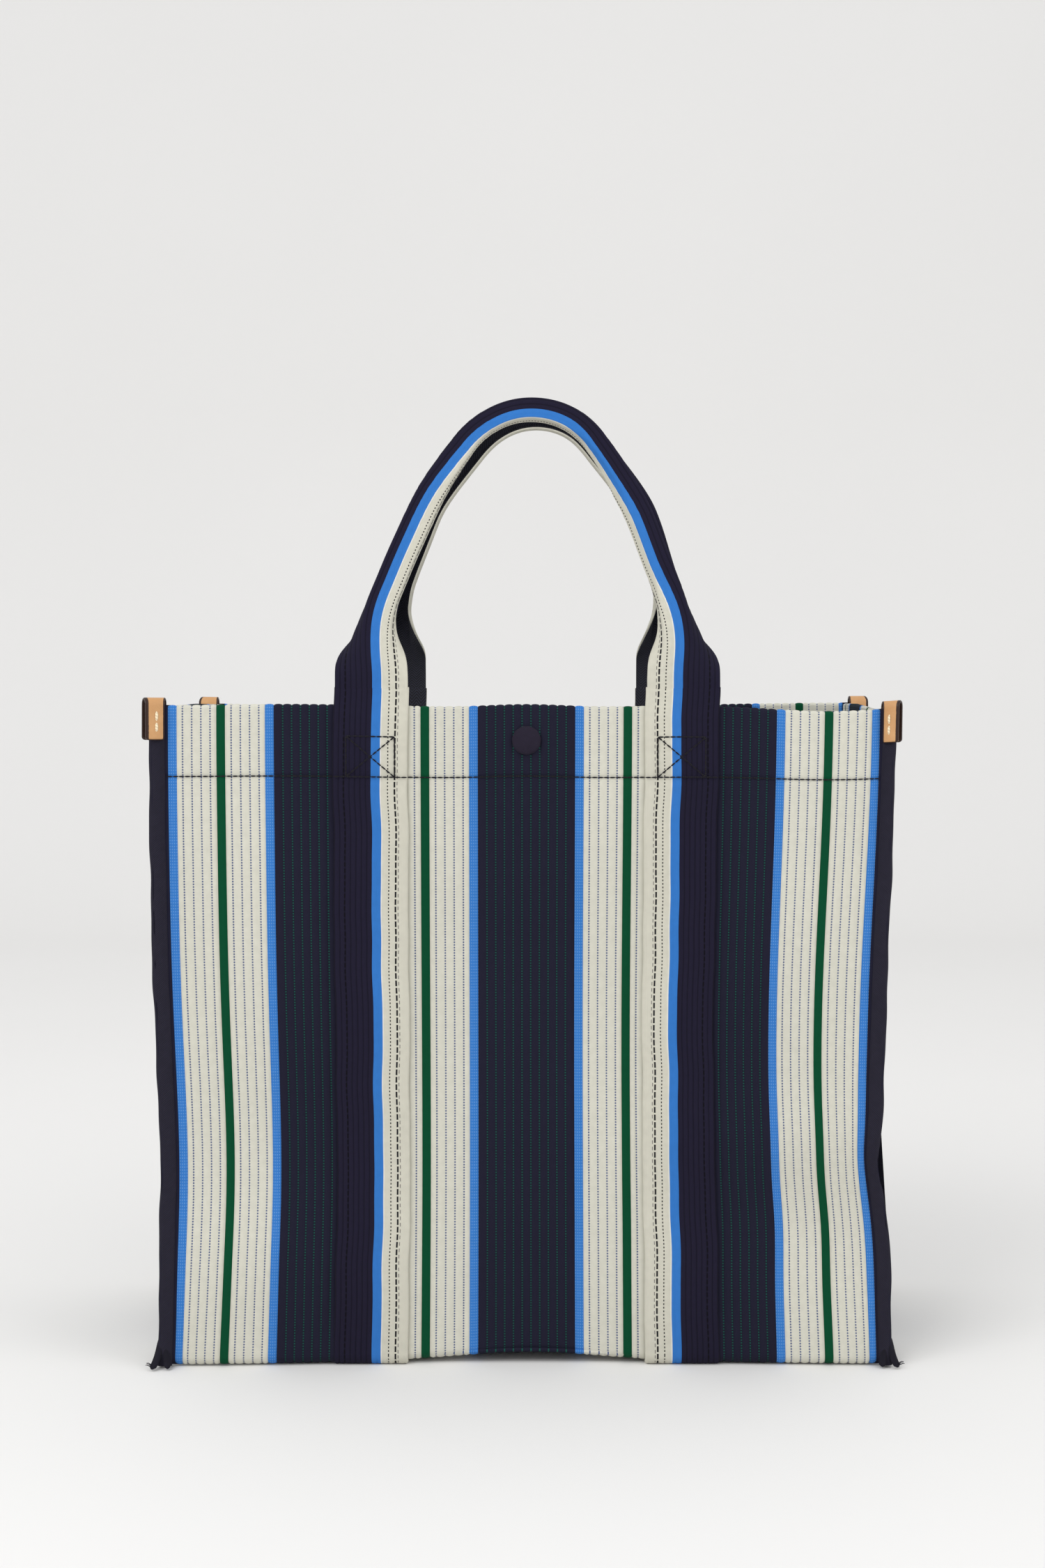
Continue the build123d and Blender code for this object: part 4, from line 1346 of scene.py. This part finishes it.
for face in FACES:
    for side in SIDES:
        make_tab(face, side)
    half = (tab_high.y - tab_low.y) / 2
    thread = (0.0014, 0.0007)
    outer = stitches(f"{face}_tab_thread", face, tab_rows(), TAB_MIDDLE - half - 0.0004, *thread)
    finish_piece(outer, CREAM_THREAD, f"{face}_panel", [f"{face}_tab_stitches"])
    depth = TAB_MIDDLE + half + 0.0004
    inner = stitches(f"{face}_tab_thread_inside", face, tab_rows(), depth, *thread, sign=1)
    finish_piece(inner, CREAM_THREAD, f"{face}_panel")

# %% [markdown]
# ## The magnetic snap
# Outside, the snap shows as a small cap covered with the navy cloth: a dome, turned about the
# line through the hem, with a soft rim. Inside are a plated cup with a ring magnet at the
# front, and a plated stud at the rear. Those are hard and exact, so the frame's own pieces
# stay, and only get brushed metal.

# %% Snap caps and metal
cap_low, cap_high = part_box("snap_socket_cap")
CAP_RADIUS = (cap_high.x - cap_low.x) / 2
CAP_Z = (cap_high.z + cap_low.z) / 2


def cap_cloth():
    """Plain fine navy cloth, stretched over the cap."""
    made, build, shader, place = material("snap_cloth", roughness=0.8, sheen=0.03)
    height, shade = weave(build, place.outputs["UV"], 0.0007, 0.0007, 0.5)
    colour = build.shaded(linear(38, 33, 47), shade)
    surface(build, shader, colour, height, 0.00012)
    return made


def metal(name, colour, rough):
    """Satin metal with fine brushed lines and small marks."""
    made, build, shader, place = material(name, roughness=rough, metallic=1.0, specular=0.5)
    place_on = place.outputs["Object"]
    stretched = build.add("ShaderNodeMapping", [("Vector", place_on), ("Scale", (1.0, 1.0, 30.0))])
    lines = build.noise(stretched.outputs[0], 300.0)
    marks = build.noise(place_on, 700.0)
    tint = build.mix(marks, colour, tuple(min(1, c * 1.25) for c in colour[:3]) + (1.0,))
    roughness = build.math("MULTIPLY_ADD", lines, 0.25, rough - 0.12)
    surface(build, shader, tint, lines, 0.00003, roughness)
    return made


def make_cap(face, name):
    """A turned dome: radius and height over a quarter of a superellipse, flat at the back."""
    t = np.linspace(0, np.pi / 2, 14)
    radius = np.concatenate([CAP_RADIUS * np.sin(t) ** 0.8, [CAP_RADIUS * 0.97, CAP_RADIUS * 0.6, 0.0001]])
    high = np.concatenate([0.0026 * np.cos(t) ** 0.55, [-0.0003, -0.0004, -0.0004]])
    radius[0] = 0.00005
    turn = np.linspace(0, 2 * np.pi, 64, endpoint=False)
    pleat = 1 + 0.012 * np.sin(11 * turn) * (np.arange(len(radius)) > 8)[:, None]
    x = radius[:, None] * np.cos(turn) * pleat
    z = CAP_Z + radius[:, None] * np.sin(turn) * pleat
    rings = on_panel(face, x, -0.0004 - np.broadcast_to(high[:, None], x.shape), z)
    ring_uv = np.stack([x, z], -1)
    uv = np.concatenate([ring_uv, ring_uv[:, :1]], 1)
    piece = tube_mesh(name.replace("cap", "cloth_cap"), rings, uv)
    finish_piece(piece, CAP_CLOTH, f"{face}_panel", [name])


CAP_CLOTH = cap_cloth()
make_cap("front", "snap_socket_cap")
make_cap("rear", "snap_stud_cap")
NICKEL = metal("snap_metal", linear(176, 174, 168), 0.34)
FERRITE = metal("magnet", linear(84, 84, 88), 0.6)
for name, finish in (("snap_socket", NICKEL), ("snap_stud", NICKEL), ("snap_magnet", FERRITE)):
    nodes[name].data.materials.clear()
    nodes[name].data.materials.append(finish)

# %% [markdown]
# ## Floor and backdrop
# A studio sweep is a floor that curves up into a wall, so that no line shows behind the bag. It
# is one profile carried sideways. It belongs to the stage, not to the bag.

# %% The sweep
def sweep_material():
    """Matt pale paper with a very faint unevenness."""
    made, build, shader, place = material("paper", roughness=0.9, specular=0.1)
    cloud = build.noise(place.outputs["Object"], 1.5)
    colour = build.mix(cloud, linear(232, 231, 229), linear(236, 235, 233))
    surface(build, shader, colour)
    return made


def make_sweep(depth=1.9, radius=0.9, height=3.2, half_width=3.0):
    """Flat floor, a quarter circle, and a wall."""
    flat = np.stack([np.linspace(-2.6, depth, 8), np.zeros(8)], -1)
    bend = arc(depth, radius, radius, -90, 0, 24)[1:]
    wall = np.stack([np.full(3, depth + radius), np.linspace(radius, height, 4)[1:]], -1)
    line = np.concatenate([flat, bend, wall])
    back = line[::-1] + np.array([0.02, -0.02])
    loop = np.concatenate([line, back])
    x = np.linspace(-half_width, half_width, 5)
    rings = np.stack(np.broadcast_arrays(x[:, None], loop[:, 0], loop[:, 1]), -1)
    piece = tube_mesh("studio_sweep", rings)
    piece.data.materials.append(sweep_material())


make_sweep()

# %% [markdown]
# ## Light and camera
# Soft studio light comes from two large areas: one high at the left front, one weaker at the
# right. A faint one hangs above, and a pale world fills the shadows. The camera stands a
# little over a metre away at the height of the mouth and looks straight ahead, so the front
# stays square. A small shift of the lens moves the bag down in the picture.

# %% Lights, world and camera
def area_light(name, place, aim, size, power):
    """A square area light that looks at a point."""
    lamp = bpy.data.lights.new(name, "AREA")
    lamp.size, lamp.energy = size, power
    holder = bpy.data.objects.new(name, lamp)
    bpy.context.scene.collection.objects.link(holder)
    holder.location = place
    towards = Vector(aim) - Vector(place)
    holder.rotation_euler = towards.to_track_quat("-Z", "Y").to_euler()


area_light("left_softbox", (-1.3, -1.6, 2.0), (0, 0, 0.2), 1.6, 26)
area_light("right_softbox", (1.8, -1.2, 1.3), (0, 0, 0.2), 1.4, 10)
area_light("top_softbox", (0, 0.4, 2.4), (0, 0, 0), 1.8, 2)
world = bpy.data.worlds.new("studio")
world.use_nodes = True
world.node_tree.nodes["Background"].inputs[0].default_value = (0.98, 0.985, 1.0, 1)
world.node_tree.nodes["Background"].inputs[1].default_value = 0.88
bpy.context.scene.world = world
bpy.context.scene.view_settings.view_transform = "Standard"

camera_data = bpy.data.cameras.new("camera")
camera_data.lens, camera_data.sensor_width = 50, 36
camera = bpy.data.objects.new("camera", camera_data)
bpy.context.scene.collection.objects.link(camera)
camera.location = (-0.0022, -FACE - 1.172, 0.3606)
camera.rotation_euler = (np.radians(90), 0, 0)
camera_data.shift_y = -0.057
bpy.context.scene.camera = camera
